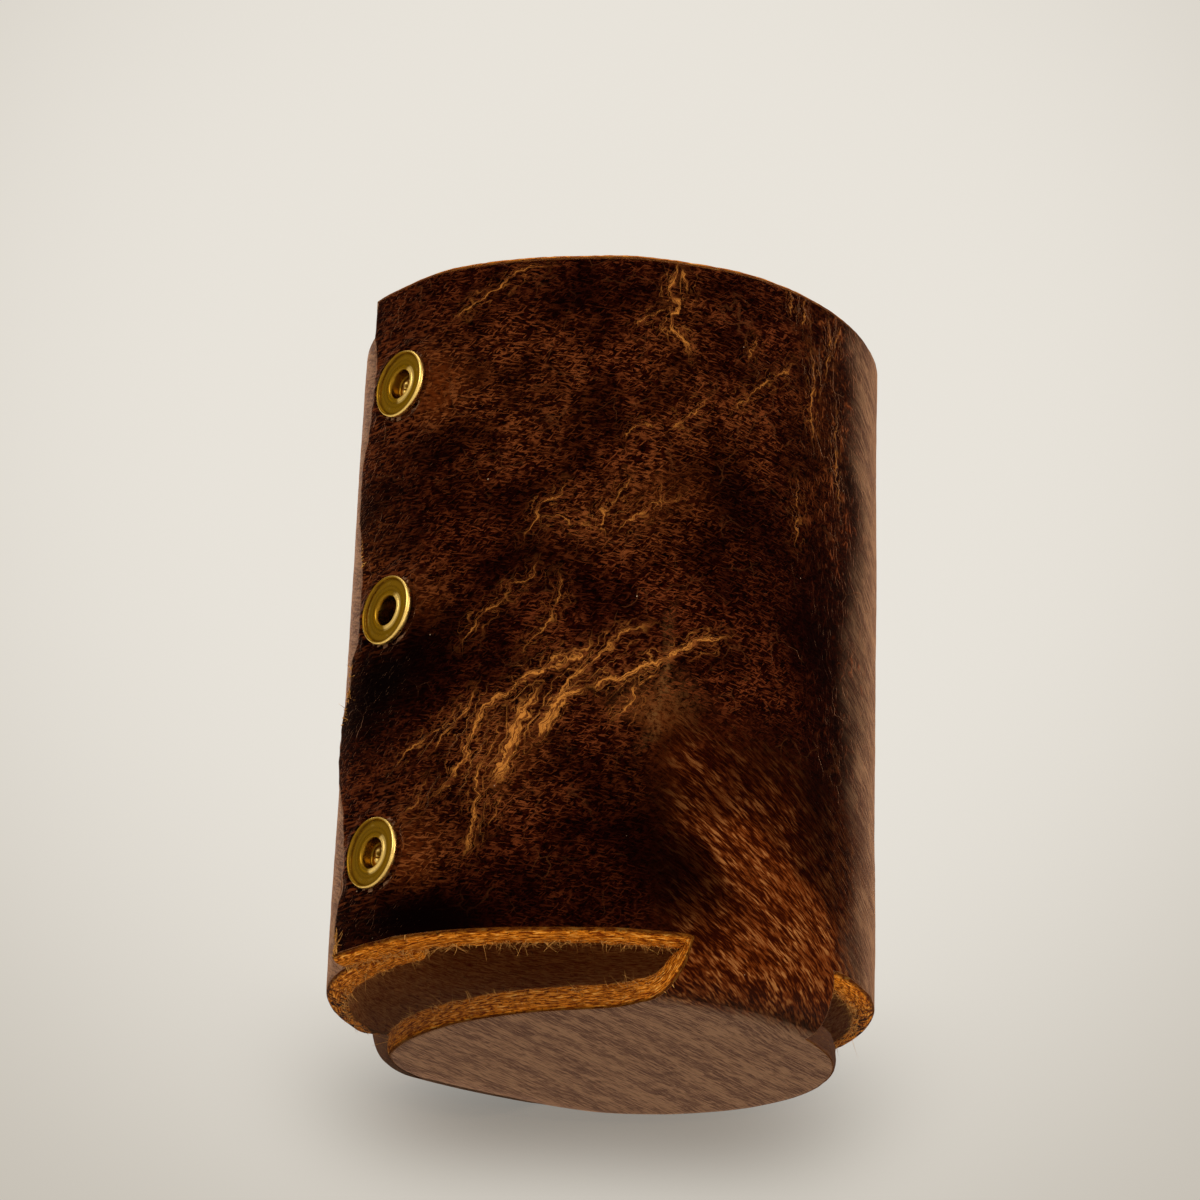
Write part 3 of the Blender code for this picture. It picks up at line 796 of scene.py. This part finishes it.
def rawSurface(owner, fuzz):
    # colour and height of the cut edge, pitted where the hide is loose, with painted shade in its pits
    # and pores, and of the flesh side
    look = leatherLook
    place = attribute(owner, "cutPlace", "Vector")
    raw = placed(fuzz, place, Grain=1.45)
    pitPlace = vectorCalc("ADD", place, noise(place, 1.2))
    chosen = calc("GREATER_THAN", parts(cells(pitPlace, 0.8)["Color"])[0], 0.3)
    pits = remap(cells(pitPlace, 0.8, "DISTANCE_TO_EDGE")["Distance"], 0.05, 0.2)
    pits = times(pits, chosen, attribute(owner, "pitted"))
    fleshTone = blendColour(remap(raw["Tone"], 0.3, 0.7), look["rawDark"], look["flesh"])
    colour = layered(
        look["rawDark"],
        (remap(raw["Tone"], 0.42, 0.54), look["raw"]),
        (remap(raw["Tone"], 0.55, 0.66), look["rawLight"]),
        (remap(noise(place, 0.7), 0.5, 0.72, 0, 0.55), look["rawDark"]),
        (remap(parts(place)[1], 0.42, 0.12, 0, 0.85), look["darkLineAndPitShade"]),
        # painted shade in the pits
        (pits, look["darkLineAndPitShade"]),
        (attribute(owner, "flesh"), fleshTone),
        # painted shade in the pores
        (times(raw["Pores"], 0.55), look["darkLineAndPitShade"]),
        # painted shade on some cut edges of the base and strap
        (attribute(owner, "burnish"), look["bloomAndSheen"]))
    return colour, minus(times(raw["Height"], 2.6), times(pits, 3))


def rawMaterial(fuzz):
    # rough and hardly shiny, its small dips from the raw height
    material, shader = newMaterial("rawLeather")
    colour, height = rawSurface(shader, fuzz)
    setInputs(shader, {"Base Color": colour, "Normal": bumped(height, 0.9, 0.15 * mm),
                       "Roughness": leatherLook["rawRoughness"][1],
                       "Specular IOR Level": leatherLook["rawSpecular"]})
    return material


def creaseStrands(place, line, force):
    # a ragged band about each crease line, made of strands that run along it
    offset, followed, half = line
    wander = times(minus(noise(place, 0.42, 3, 0.6), 0.5), 1.6)
    zigzag = times(minus(noise(place, 1.15, 1), 0.5), 0.9)
    aside = plus(offset, plus(wander, zigzag))
    threads = []
    for across, width in ((3.4, 0.14), (1.15, 0.055)):
        where = {0: times(followed, 0.34), 1: times(aside, across), 2: half}
        field = noise(addNode(half, "CombineXYZ", where)[0], 1, 1, 0.5, 0.3)
        threads.append(remap(absolute(minus(field, 0.5)), width, 0))
    strand, parallel = threads
    far = calc("DIVIDE", absolute(aside), half)
    core = times(remap(far, 0.95, 0.3), plus(times(strand, 0.4), 0.6))
    skirt = times(remap(far, 1.8, 0.6), times(strand, 0.9))
    sides = times(remap(absolute(aside), 2.6, 1.2), times(parallel, 0.55))
    return strand, calc("MULTIPLY", most(core, skirt, sides), calc("POWER", force, 0.7), True)


def sleeveMaterial(wrinkles, veins, fuzz):
    # tones, hairs, fibres, bloom and painted sheen, veins and creases laid over each other, and the raw
    # leather where the border is worn
    look = leatherLook
    material, shader = newMaterial("pullUpLeather")
    place = attribute(shader, "hidePlace", "Vector")
    warm, dark, bloomAndSheenShare = parts(attribute(shader, "tone", "Vector"))
    worn, low, right = parts(attribute(shader, "flow", "Vector"))
    line = parts(attribute(shader, "creaseLine", "Vector"))
    force = attribute(shader, "creaseForce")
    light = rest(dark)

    def run(turn, scale, stretch, width=0.12):
        return placed(wrinkles, place, Turn=turn, Size=scale, Stretch=stretch, Width=width)

    # fibres in three runs: nearly level on the left, down to the right at the lower right,
    # upright at the right
    level, woven = run(0.1, 0.8, 3.4, 0.075)["Lines"], run(-0.35, 1.5, 2.4, 0.045)["Lines"]
    slanted, upright = run(0.62, 0.95, 5, 0.075), run(1.5, 1.1, 3.6, 0.065)["Lines"]
    hairs, streaks, wisps, crossed = (run(*values)["Hairs"] for values in (
        (0.6, 0.3, 5.8), (0.04, 0.5, 5), (0.16, 0.3, 4.5), (-0.75, 0.34, 3.6)))
    wisps = most(remap(wisps, 0.54, 0.65), times(remap(crossed, 0.58, 0.67), 0.95))
    fibre = most(times(level, 0.85), times(woven, 0.7), times(wisps, 0.78))
    fibre = times(fibre, rest(low), rest(times(right, 0.6)))
    fibre = most(fibre, times(slanted["Lines"], 0.5, low), times(upright, right))
    net = times(placed(veins, place, Size=4.4, Shake=0.35, Width=0.03, Cover=0.5)["Lines"], rest(low))
    strand, crease = creaseStrands(place, line, force)
    beside = times(remap(absolute(line[0]), 2.4, 0.3), force)

    blotch = remap(noise(place, 0.11, 3, 0.6), 0.34, 0.62, 0.4, 1)
    fineTone = noise(place, 1.5, 4, 0.72)
    lightness = calc("MULTIPLY", times(blotch, remap(fineTone, 0.4, 0.62)), light, True)
    streaked = plus(times(hairs, 0.66), times(slanted["Body"], 0.34))
    mottled = mixed(low, remap(fineTone, 0.34, 0.6, 0.1, 1), remap(streaked, 0.42, 0.575))
    warmPlace = mixed(low, remap(warm, 0.3, 1), times(remap(warm, 0, 0.6, 0.2, 1), light))
    tufts = remap(noise(place, 0.22), 0.36, 0.62, 0.25, 1)
    tips = times(remap(streaked, 0.52, 0.66), times(low, times(warmPlace, tufts)))
    seat = times(attribute(shader, "seatStreaks"), light)
    seen = times(fibre, most(times(light, blotch), times(beside, 0.9)))
    warmer = most(warm, times(beside, 0.5))
    tan = times(remap(run(0.36, 2.6, 8)["Body"], 0.26, 0.76), 0.7)
    tan = calc("ADD", tan, times(minus(run(0.39, 0.34, 15)["Hairs"], 0.465), 4.2), True)
    dots = cells(place, 0.3)
    few = calc("GREATER_THAN", parts(dots["Color"])[0], 0.72)
    speck = times(remap(dots["Distance"], 0.04, 0.02), few)
    rawColour, rawHeight = rawSurface(shader, fuzz)
    bare = plus(attribute(shader, "cut"), times(minus(fineTone, 0.5), 0.5))
    bare = remap(bare, 0.35, 0.6)  # the worn corner shows the cut
    edged = remap(plus(crease, times(strand, 0.5)), 0.35, 1.25)
    colour = layered(
        look["deep"],
        (lightness, look["brown"]),
        (times(warmPlace, low), look["warmDark"]),
        (times(warmPlace, mottled), look["warm"]),
        (tips, look["hair"]),
        (times(remap(streaks, 0.5, 0.4), seat), look["deep"]),
        (times(remap(streaks, 0.52, 0.64), seat, 0.9), look["fibre"]),
        (times(worn, remap(fineTone, 0.38, 0.62)), look["worn"]),
        (calc("MULTIPLY", seen, 0.85, True), blendColour(warmer, look["fibreSide"], look["warm"])),
        (calc("POWER", seen, 2.1), blendColour(warmer, look["fibre"], look["warmFibre"])),
        # painted sheen in the side strips, and bloom with painted sheen on the base, streaked with tan
        (bloomAndSheenShare, blendColour(tan, look["bloomAndSheen"], look["bloomTan"])),
        (times(net, light, 0.28), look["vein"]),
        (crease, blendColour(edged, look["creaseSide"], look["crease"])),
        (times(speck, 0.8), look["speck"]),
        (bare, rawColour))

    height = plus(times(fibre, 0.45), times(net, 0.6), times(noise(place, 3.2, 3, 0.6), 0.5), crease,
                  times(hairs, low, 1.2), times(streaks, seat, 1.2))
    setInputs(shader, {
        "Base Color": colour,
        "Roughness": mixed(
            bare, remap(fineTone, 0.3, 0.7, *look["roughness"]), look["rawRoughness"][0]),
        "Normal": bumped(mixed(bare, height, rawHeight), 0.8, 0.12 * mm),
        "Specular IOR Level": look["specular"], "Sheen Weight": look["sheen"],
        "Sheen Roughness": look["sheenRoughness"], "Sheen Tint": look["sheenTint"]})
    return material


fibreLook = {
    "dark": (0.3, 0.1, 0.018, 1),
    "light": (0.82, 0.4, 0.085, 1),
    "roughness": 0.85,
    "specular": 0.2,
}


def fibreMaterial(fuzz):
    # tan, dark and light by the fuzz on the fibre's own place
    look = fibreLook
    material, shader = newMaterial("looseFibres")
    raw = placed(fuzz, objectPlace(shader), Grain=0.6)
    tone = remap(raw["Tone"], 0.3, 0.7)
    setInputs(shader, {"Base Color": blendColour(tone, look["dark"], look["light"]),
                       "Normal": bumped(raw["Height"], 0.5, 0.05 * mm),
                       "Roughness": look["roughness"], "Specular IOR Level": look["specular"]})
    return material


brassLook = {
    "bright": (0.9, 0.6, 0.17, 1),
    "dull": (0.26, 0.13, 0.009, 1),
    "grime": (0.045, 0.014, 0.001, 1),
    "roughness": (0.18, 0.38),
    "edgeTint": (1, 0.8, 0.45, 1),
    "ringFineness": 46,  # turning marks
}


def brassMaterial():
    # bright where rubbed, with a painted highlight on the right of the rim and lip and painted shade on
    # their left, dull elsewhere, grime in the hollows, with fine turning rings, height = 0.12 *
    # sin(fineness * radius) + noise
    look = brassLook
    material, shader = newMaterial("agedBrass")
    radius, wearAndSideLight, grime = parts(attribute(shader, "turning", "Vector"))
    place = objectPlace(shader)
    stain = noise(place, 0.8, 4, 0.65)
    # the share of bright brass: real rubbing, and the painted highlight and shade on the rim and lip
    retoned = remap(plus(wearAndSideLight, times(minus(stain, 0.5), 0.9)), 0.75, 0.25)
    dirt = times(grime, remap(stain, 0.3, 0.6, 0.55, 1))
    rings = calc("SINE", times(radius, look["ringFineness"]))
    height = plus(times(rings, 0.12), times(noise(place, 4, 3, 0.6), 0.5))
    setInputs(shader, {
        "Base Color": layered(look["dull"], (retoned, look["bright"]), (dirt, look["grime"])),
        "Roughness": remap(stain, 0.3, 0.7, *look["roughness"]),
        "Normal": bumped(height, 0.35, 0.03 * mm),
        "Metallic": 1, "Specular Tint": look["edgeTint"]})
    return material


# The hollow rivets: (radius, height over the leather, wear, grime) down the section of each piece
rivetShape = {
    "post": [
        (0, -2.66, 1, 1), (1.9, -2.66, 1, 1), (2.15, -2.5, 1, 1), (2.15, -0.6, 1, 1),
        (2.2, 0.2, 1, 1), (2.5, 0.3, 1, 1), (4, 0.3, 1, 1), (4.38, 0.3, 1, 0.9),
        (4.6, 0.38, 0.6, 0.5), (4.69, 0.53, 0.2, 0.1), (4.72, 0.76, 0, 0), (4.7, 0.97, 0, 0),
        (4.64, 1.12, 0, 0), (4.55, 1.2, 0.1, 0), (4.45, 1.205, 0.4, 0), (4.37, 1.15, 0.6, 0.1),
        (4.31, 1.04, 0.8, 0.4), (4.27, 0.93, 0.9, 0.8), (4.21, 0.87, 1, 0.85),
        (4.12, 0.86, 0.95, 0.4), (3.95, 0.88, 0.9, 0.05), (3.72, 0.905, 0.75, 0),
        (3.52, 0.9, 0.8, 0), (3.38, 0.875, 0.95, 0.25), (3.26, 0.86, 1, 0.35),
        (3.12, 0.865, 0.9, 0.05), (2.95, 0.86, 0.95, 0.1), (2.8, 0.845, 1, 0.4),
        (2.7, 0.845, 1, 0.45), (2.6, 0.88, 0.85, 0.15), (2.49, 0.94, 0.6, 0), (2.38, 0.98, 0.45, 0),
        (2.27, 0.985, 0.45, 0), (2.16, 0.95, 0.4, 0), (2.06, 0.86, 0.3, 0), (1.98, 0.7, 0.3, 0.05),
        (1.93, 0.42, 0.6, 0.3), (1.9, 0.05, 0.9, 0.5), (1.86, -0.45, 1, 0.65)],
    "crimp": [
        (1.72, -0.66, 1, 0.7), (1.35, -0.58, 0.6, 0.4), (0.95, -0.42, 0.3, 0.2),
        (0.66, -0.5, 0.5, 0.5), (0.42, -0.8, 0.9, 0.9), (0, -1, 1, 1)],
    "deep": [(1.78, -1.4, 1, 0.75), (1.66, -2.1, 1, 0.9), (1.1, -2.3, 1, 1), (0, -2.34, 1, 1)],
    "cap": [
        (0, 0.55, 1, 1), (2.2, 0.55, 1, 1), (4.1, 0.52, 1, 1), (4.36, 0.46, 0.8, 0.6),
        (4.48, 0.32, 0.3, 0.1), (4.5, 0.12, 0, 0), (4.42, -0.08, 0, 0), (4.2, -0.22, 0.1, 0),
        (3.7, -0.4, 0.3, 0), (3, -0.56, 0.4, 0), (2.1, -0.68, 0.4, 0), (1.1, -0.74, 0.4, 0),
        (0, -0.76, 0.4, 0)],
    "segments": 96,
    "rim": 4.3,  # the rim starts here; its left side is painted dull as shade, so that its rubbed right side stands out as a painted highlight
    "lip": (1.88, 2.95),  # the rolled lip of the hollow tube
    "capDepth": 0.85,  # the cap's middle under the leather's inner face
}


def turnedPiece(name, profile, middle, out, finish, waves=0):
    # a section (radius, height) turned about the outward line:
    # point = middle + radius * (cos, sin) + height * out, with a slow wave of a few hundredths
    # round it, as a pressed part has
    table = np.array(profile, float)
    radius, height, wearAndSideLight, grime = table[1:-1].T[:, :, None]
    turn = np.arange(rivetShape["segments"]) * 2 * pi / rivetShape["segments"]
    side = np.cross((0, 0, 1), out)
    up = np.cross(out, side)
    heights = height + waves * bell(radius - 0.95, 0.45) * (height < 0) * np.cos(turn * 5 + 0.7)
    heights = heights + 0.012 * np.cos(turn * 3 + middle[2])
    rim = radius * (1 + 0.004 * np.cos(turn * 2 + middle[2]))
    ring = (rim * np.cos(turn))[..., None] * side + (rim * np.sin(turn))[..., None] * up
    points = middle + ring + heights[..., None] * out
    ends = middle + table[[0, -1], 1, None] * out
    index = numbered(points)
    pole = np.full(len(turn), index.size)
    index = np.hstack([index, index[:, :1]])
    faces = (gridFaces(index)[:, ::-1].tolist()
             + np.stack([pole, index[0, :-1], index[0, 1:]], -1).tolist()
             + np.stack([pole + 1, index[-1, 1:], index[-1, :-1]], -1).tolist())
    # the share towards the left of each ring, used to paint the left of the rim and lip dull as shade
    left = (1 - np.cos(turn + 0.4)) / 2
    wearAndSideLight = wearAndSideLight + np.where(radius > rivetShape["rim"], 0.6, 0) * left
    lipStart, lipEnd = rivetShape["lip"]
    lip = (radius > lipStart) & (radius < lipEnd) & (height > 0)
    # the lip is painted bright on its right as a highlight and dull on its left as shade
    wearAndSideLight = np.where(lip, ease(left * 2.2 - 0.25), wearAndSideLight)
    turning = np.stack(np.broadcast_arrays(radius, wearAndSideLight, grime), -1).reshape(-1, 3)
    turning = np.vstack([turning, table[[0, -1]][:, [0, 2, 3]]])
    return makePiece(name, np.vstack([points.reshape(-1, 3), ends]), faces, [finish], turning=turning)


def makeRivets(finish):
    # each rivet is a hollow flange outside and a low cap inside the sleeve, on the same line
    seats = rivetSeats()
    for number, (middle, out) in enumerate(seats):
        strap = number == len(seats) - 1
        node = "strap_rivet" if strap else f"rivet_{number + 1}"
        tail = rivetShape["deep"] if number == 1 else rivetShape["crimp"]
        hollow = (rivetShape["post"] + tail)[::-1]
        post = turnedPiece(f"{node}Flange", hollow, middle, out, finish, 0.1)
        inner = sleeve["outer"] - sleeve["thickness"] - (0 if strap else sleeve["innerDip"])
        seat = out * (inner - rivetShape["capDepth"]) + (0, 0, middle[2])
        cap = turnedPiece(f"{node}InnerCap", rivetShape["cap"], seat, out, finish)
        for piece, cad in ((post, f"{node}_post"), (cap, f"{node}_cap")):
            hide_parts(cad)
            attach(piece, "root")


fibres = {
    "count": 1500,
    "sides": 3,
    "steps": 5,
    "length": (0.35, 1.5),
    "radius": (0.03, 0.075),
    # place on a cut edge, how many, length, spread, over the grain (-1) or out of the cut (1)
    "torn": [
        ((-34.2, -20.5, 40.5), 30, 2.2, 0.1, -1), ((-34.1, -20.8, 44.6), 20, 1.5, 0.2, -1),
        ((-34.4, -19.9, 62.4), 16, 1.1, 0.15, -1), ((-34.5, -19.7, 8.4), 30, 2.4, 0.1, -1),
        ((-23.6, -26.7, 7.2), 44, 1.9, 0.6, 1), ((-22.6, -27.2, 6.6), 24, 1.4, 0.9, 1),
        ((16.5, -23.5, 0.6), 12, 0.8, 0.6, 1)],
}


def strands(roots, heads, bends, lengths, radii):
    # each strand is a tapering three-sided tube, closed at both ends, along
    # root + (head * s + bend * s^2) * length
    steps, sides = fibres["steps"], fibres["sides"]
    share = np.linspace(0, 1, steps)[None, :, None]
    path = heads[:, None] * share + bends[:, None] * share ** 2
    middle = roots[:, None] + path * lengths[:, None, None]
    side = unit(np.cross(heads, bends + (0.01, 0.02, 0.03)))
    other = np.cross(heads, side)
    width = radii[:, None] * (1 - 0.85 * share[:, :, 0])
    turn = np.arange(sides) * 2 * pi / sides
    ring = np.cos(turn)[:, None] * side[:, None, None] + np.sin(turn)[:, None] * other[:, None, None]
    points = (middle[:, :, None] + ring * width[..., None, None]).reshape(-1, 3)
    index = np.arange(len(points)).reshape(len(roots), steps, sides)
    around = gridFaces(np.concatenate([index, index[:, :, :1]], 2))
    faces = around.tolist() + index[:, 0, ::-1].tolist() + index[:, -1].tolist()
    return points, faces


def makeFibres(edge, finish):
    # strands at random places on the cut edges, most of them in the slot and under the base,
    # then tufts at the torn spots
    rng = np.random.default_rng(7)
    place, away, inward, run = (edge[name] for name in ("points", "away", "inward", "run"))
    x, y, z = place.T
    onWall = edge["onWall"]
    slot = ((onWall > 0) & (z < 9) & (y < 12)) | ((onWall < 1) & (z < 3.6) & (x < 12))
    weight = np.where(slot, 1, 0.12)
    count = fibres["count"]
    pick = rng.choice(len(z), count, p=weight / weight.sum())
    roots = place[pick] - away[pick] * 0.12 + inward[pick] * rng.uniform(-0.9, 0.15, (count, 1))
    heads = unit(away[pick] * rng.uniform(0, 0.8, (count, 1))
                 + run[pick] * rng.uniform(-1, 1, (count, 1))
                 + inward[pick] * rng.uniform(-0.1, 0.7, (count, 1)))
    bends = rng.normal(0, 0.45, heads.shape)
    lengths = rng.uniform(*fibres["length"], count) ** 1.3 * np.where(slot[pick], 1, 0.3)
    groups = [(roots, heads, bends, lengths, rng.uniform(*fibres["radius"], count))]
    for spot, count, reach, spread, way in fibres["torn"]:
        nearest = np.argsort(np.linalg.norm(edge["outer"] - spot, axis=1))[:9]
        pick = rng.choice(nearest, count)
        deepest, lift = (0.2, 0.08) if way < 0 else (2.4, 0.4)
        roots = edge["outer"][pick] + inward[pick] * rng.uniform(-0.1, deepest, (count, 1))
        heads = unit(way * away[pick] * rng.uniform(0.5, 1, (count, 1))
                     - inward[pick] * rng.uniform(0.02, lift, (count, 1))
                     + rng.normal(0, spread, (count, 3)))
        groups.append((roots, heads, rng.normal(0, 0.2, heads.shape),
                       rng.uniform(0.4, 1, count) * reach, rng.uniform(0.07, 0.16, count)))
    points, faces = strands(*(np.concatenate(part) for part in zip(*groups)))
    obj = makePiece("rawEdgeFibres", points, faces, [finish])
    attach(obj, "root")


wrinkles, veins, fuzz = wrinkleGroup(), veinGroup(), fuzzGroup()
leatherSleeve, sheetEdge = makeSleeve([sleeveMaterial(wrinkles, veins, fuzz), rawMaterial(fuzz)])
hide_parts("leather_body")
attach(leatherSleeve, "root")
print("leather made,", len(leatherSleeve.data.polygons), "faces")
makeRivets(brassMaterial())
print("rivets made")
makeFibres(sheetEdge, fibreMaterial(fuzz))
print("fibres made")


# Stage: floor, surroundings, lamps and camera

stage = {
    "floor": (0.78, 0.745, 0.68, 1),
    "floorShade": (0.138, 0.106, 0.074, 1),  # the soft shadow that shows through it from below
    "backNear": (0.81, 0.772, 0.705, 1),
    "backFar": (0.57, 0.53, 0.465, 1),
    "floorHeight": 0.4,
    "floorHalf": 1600,
    "ambient": ((1, 0.985, 0.96, 1), 0.42),
    "cameraPlace": (-1.2185, -450.159, -116.49),
    "pitch": 22.0238,
    "yaw": -0.089,
    "roll": 2.0559,
    "focal": 3492.05,  # in picture points
    "pictureWidth": 1200,
    "lamps": [  # name, place, aimed at, width, height, power, colour
        ("keyLamp", (-330, -620, 420), (0, 0, 55), 500, 500, 2.4, (1, 0.98, 0.95)),
        ("sideLamp", (640, -300, 160), (0, 0, 50), 300, 600, 1.6, (1, 0.98, 0.96)),
        ("lowLamp", (280, -560, -220), (0, 0, 40), 240, 240, 1.3, (1, 0.98, 0.95)),
        ("backLamp", (-200, 620, 420), (0, 0, 55), 500, 400, 1.6, (1, 0.99, 0.97)),
        ("topLamp", (60, 60, 760), (0, 0, 50), 500, 500, 1.8, (1, 0.99, 0.97)),
    ],
}


def emptyTree(owner, kind):
    # the output of a cleared node tree
    owner.use_nodes = True
    nodes = owner.node_tree.nodes
    nodes.clear()
    return nodes.new("ShaderNodeOutput" + kind)


def mixShader(share, a, b):
    # a * (1 - share) + b * share, for shaders
    return addNode(share, "MixShader", {0: share, 1: a, 2: b})[0]


def makeFloor():
    # one flat square; seen from below it is clear, but for the soft shadow near the object,
    # share = exp(-((x / 0.037)^4 + ((y - 0.033) / 0.045)^2))
    half, z = stage["floorHalf"], stage["floorHeight"]
    material = bpy.data.materials.new("paleFloor")
    output = emptyTree(material, "Material")
    matt = addNode(output, "BsdfDiffuse", {"Color": stage["floor"]})[0]
    clear = addNode(output, "BsdfTransparent")[0]
    through = addNode(output, "BsdfTranslucent", {"Color": stage["floorShade"]})[0]
    x, y, _ = parts(addNode(output, "TexCoord")["Object"])
    wide = calc("POWER", calc("DIVIDE", absolute(x), 0.037), 4)
    deep = calc("DIVIDE", minus(y, 0.033), 0.045)
    shade = calc("EXPONENT", times(plus(wide, times(deep, deep)), -1))
    below = mixShader(times(remap(y, -0.05, -0.02, 0, 0.68), shade), clear, through)
    sides = mixShader(addNode(output, "NewGeometry")["Backfacing"], matt, below)
    final = mixShader(addNode(output, "LightPath")["Is Shadow Ray"], sides, clear)
    setInputs(output, {"Surface": final})
    corners = np.array([(-half, -half, z), (half, -half, z), (half, half, z), (-half, half, z)])
    floor = makePiece("paleFloor", corners, [(0, 1, 2, 3)], [material])


def cameraAxes():
    # forward from yaw and pitch; right and up turned about it by the roll
    pitch, yaw, roll = (radians(stage[k]) for k in ("pitch", "yaw", "roll"))
    forward = Vector((sin(yaw) * cos(pitch), cos(yaw) * cos(pitch), sin(pitch)))
    right = Vector((cos(yaw), -sin(yaw), 0))
    up = right.cross(forward)
    return cos(roll) * right + sin(roll) * up, -sin(roll) * right + cos(roll) * up, forward


def makeCamera():
    # lens = sensor width * focal length in points / picture width
    right, up, forward = cameraAxes()
    data = bpy.data.cameras.new("photoCamera")
    data.sensor_width = 36
    data.lens = data.sensor_width * stage["focal"] / stage["pictureWidth"]
    data.clip_start, data.clip_end = 0.01, 20
    camera = bpy.data.objects.new("photoCamera", data)
    matrix = Matrix((right, up, -forward)).transposed().to_4x4()
    matrix.translation = Vector(stage["cameraPlace"]) * mm
    camera.matrix_world = matrix
    scene.collection.objects.link(camera)
    scene.camera = camera


def makeLamps():
    # area lamps, each turned from its place towards its aim
    for name, place, aim, width, height, power, colour in stage["lamps"]:
        data = bpy.data.lights.new(name, "AREA")
        data.shape = "RECTANGLE"
        data.size, data.size_y = width * mm, height * mm
        data.energy = power
        data.color = colour
        lamp = bpy.data.objects.new(name, data)
        lamp.location = Vector(place) * mm
        lamp.rotation_euler = (Vector(aim) - Vector(place)).to_track_quat("-Z", "Y").to_euler()
        lamp.visible_camera = False
        scene.collection.objects.link(lamp)


def makeSurroundings():
    # a pale backdrop for camera, mirror and clear rays, a little darker away from the object;
    # soft light otherwise
    scene.world = bpy.data.worlds.new("softStudio")
    output = emptyTree(scene.world, "World")
    way = addNode(output, "TexCoord")["Generated"]
    right, up, forward = cameraAxes()
    middle = tuple((forward + 0.06 * up).normalized())
    towards = addNode(output, "VectorMath", {0: way, 1: middle}, operation="DOT_PRODUCT")["Value"]
    pale = blendColour(remap(towards, 0.956, 0.9975), stage["backFar"], stage["backNear"])
    front = remap(absolute(parts(way)[1]), 0.2, 0.8, 0.62, 1.1)
    shown, mirrored, soft = (
        addNode(output, "Background", {"Color": colour, "Strength": strength})[0]
        for colour, strength in ((pale, 1), (stage["backNear"], front), stage["ambient"]))
    rays = addNode(output, "LightPath")
    light = mixShader(most(rays["Is Glossy Ray"], rays["Is Transmission Ray"]), soft, mirrored)
    setInputs(output, {"Surface": mixShader(rays["Is Camera Ray"], light, shown)})


makeFloor()
makeCamera()
makeLamps()
makeSurroundings()
scene.view_settings.view_transform = "Standard"
print("stage set")
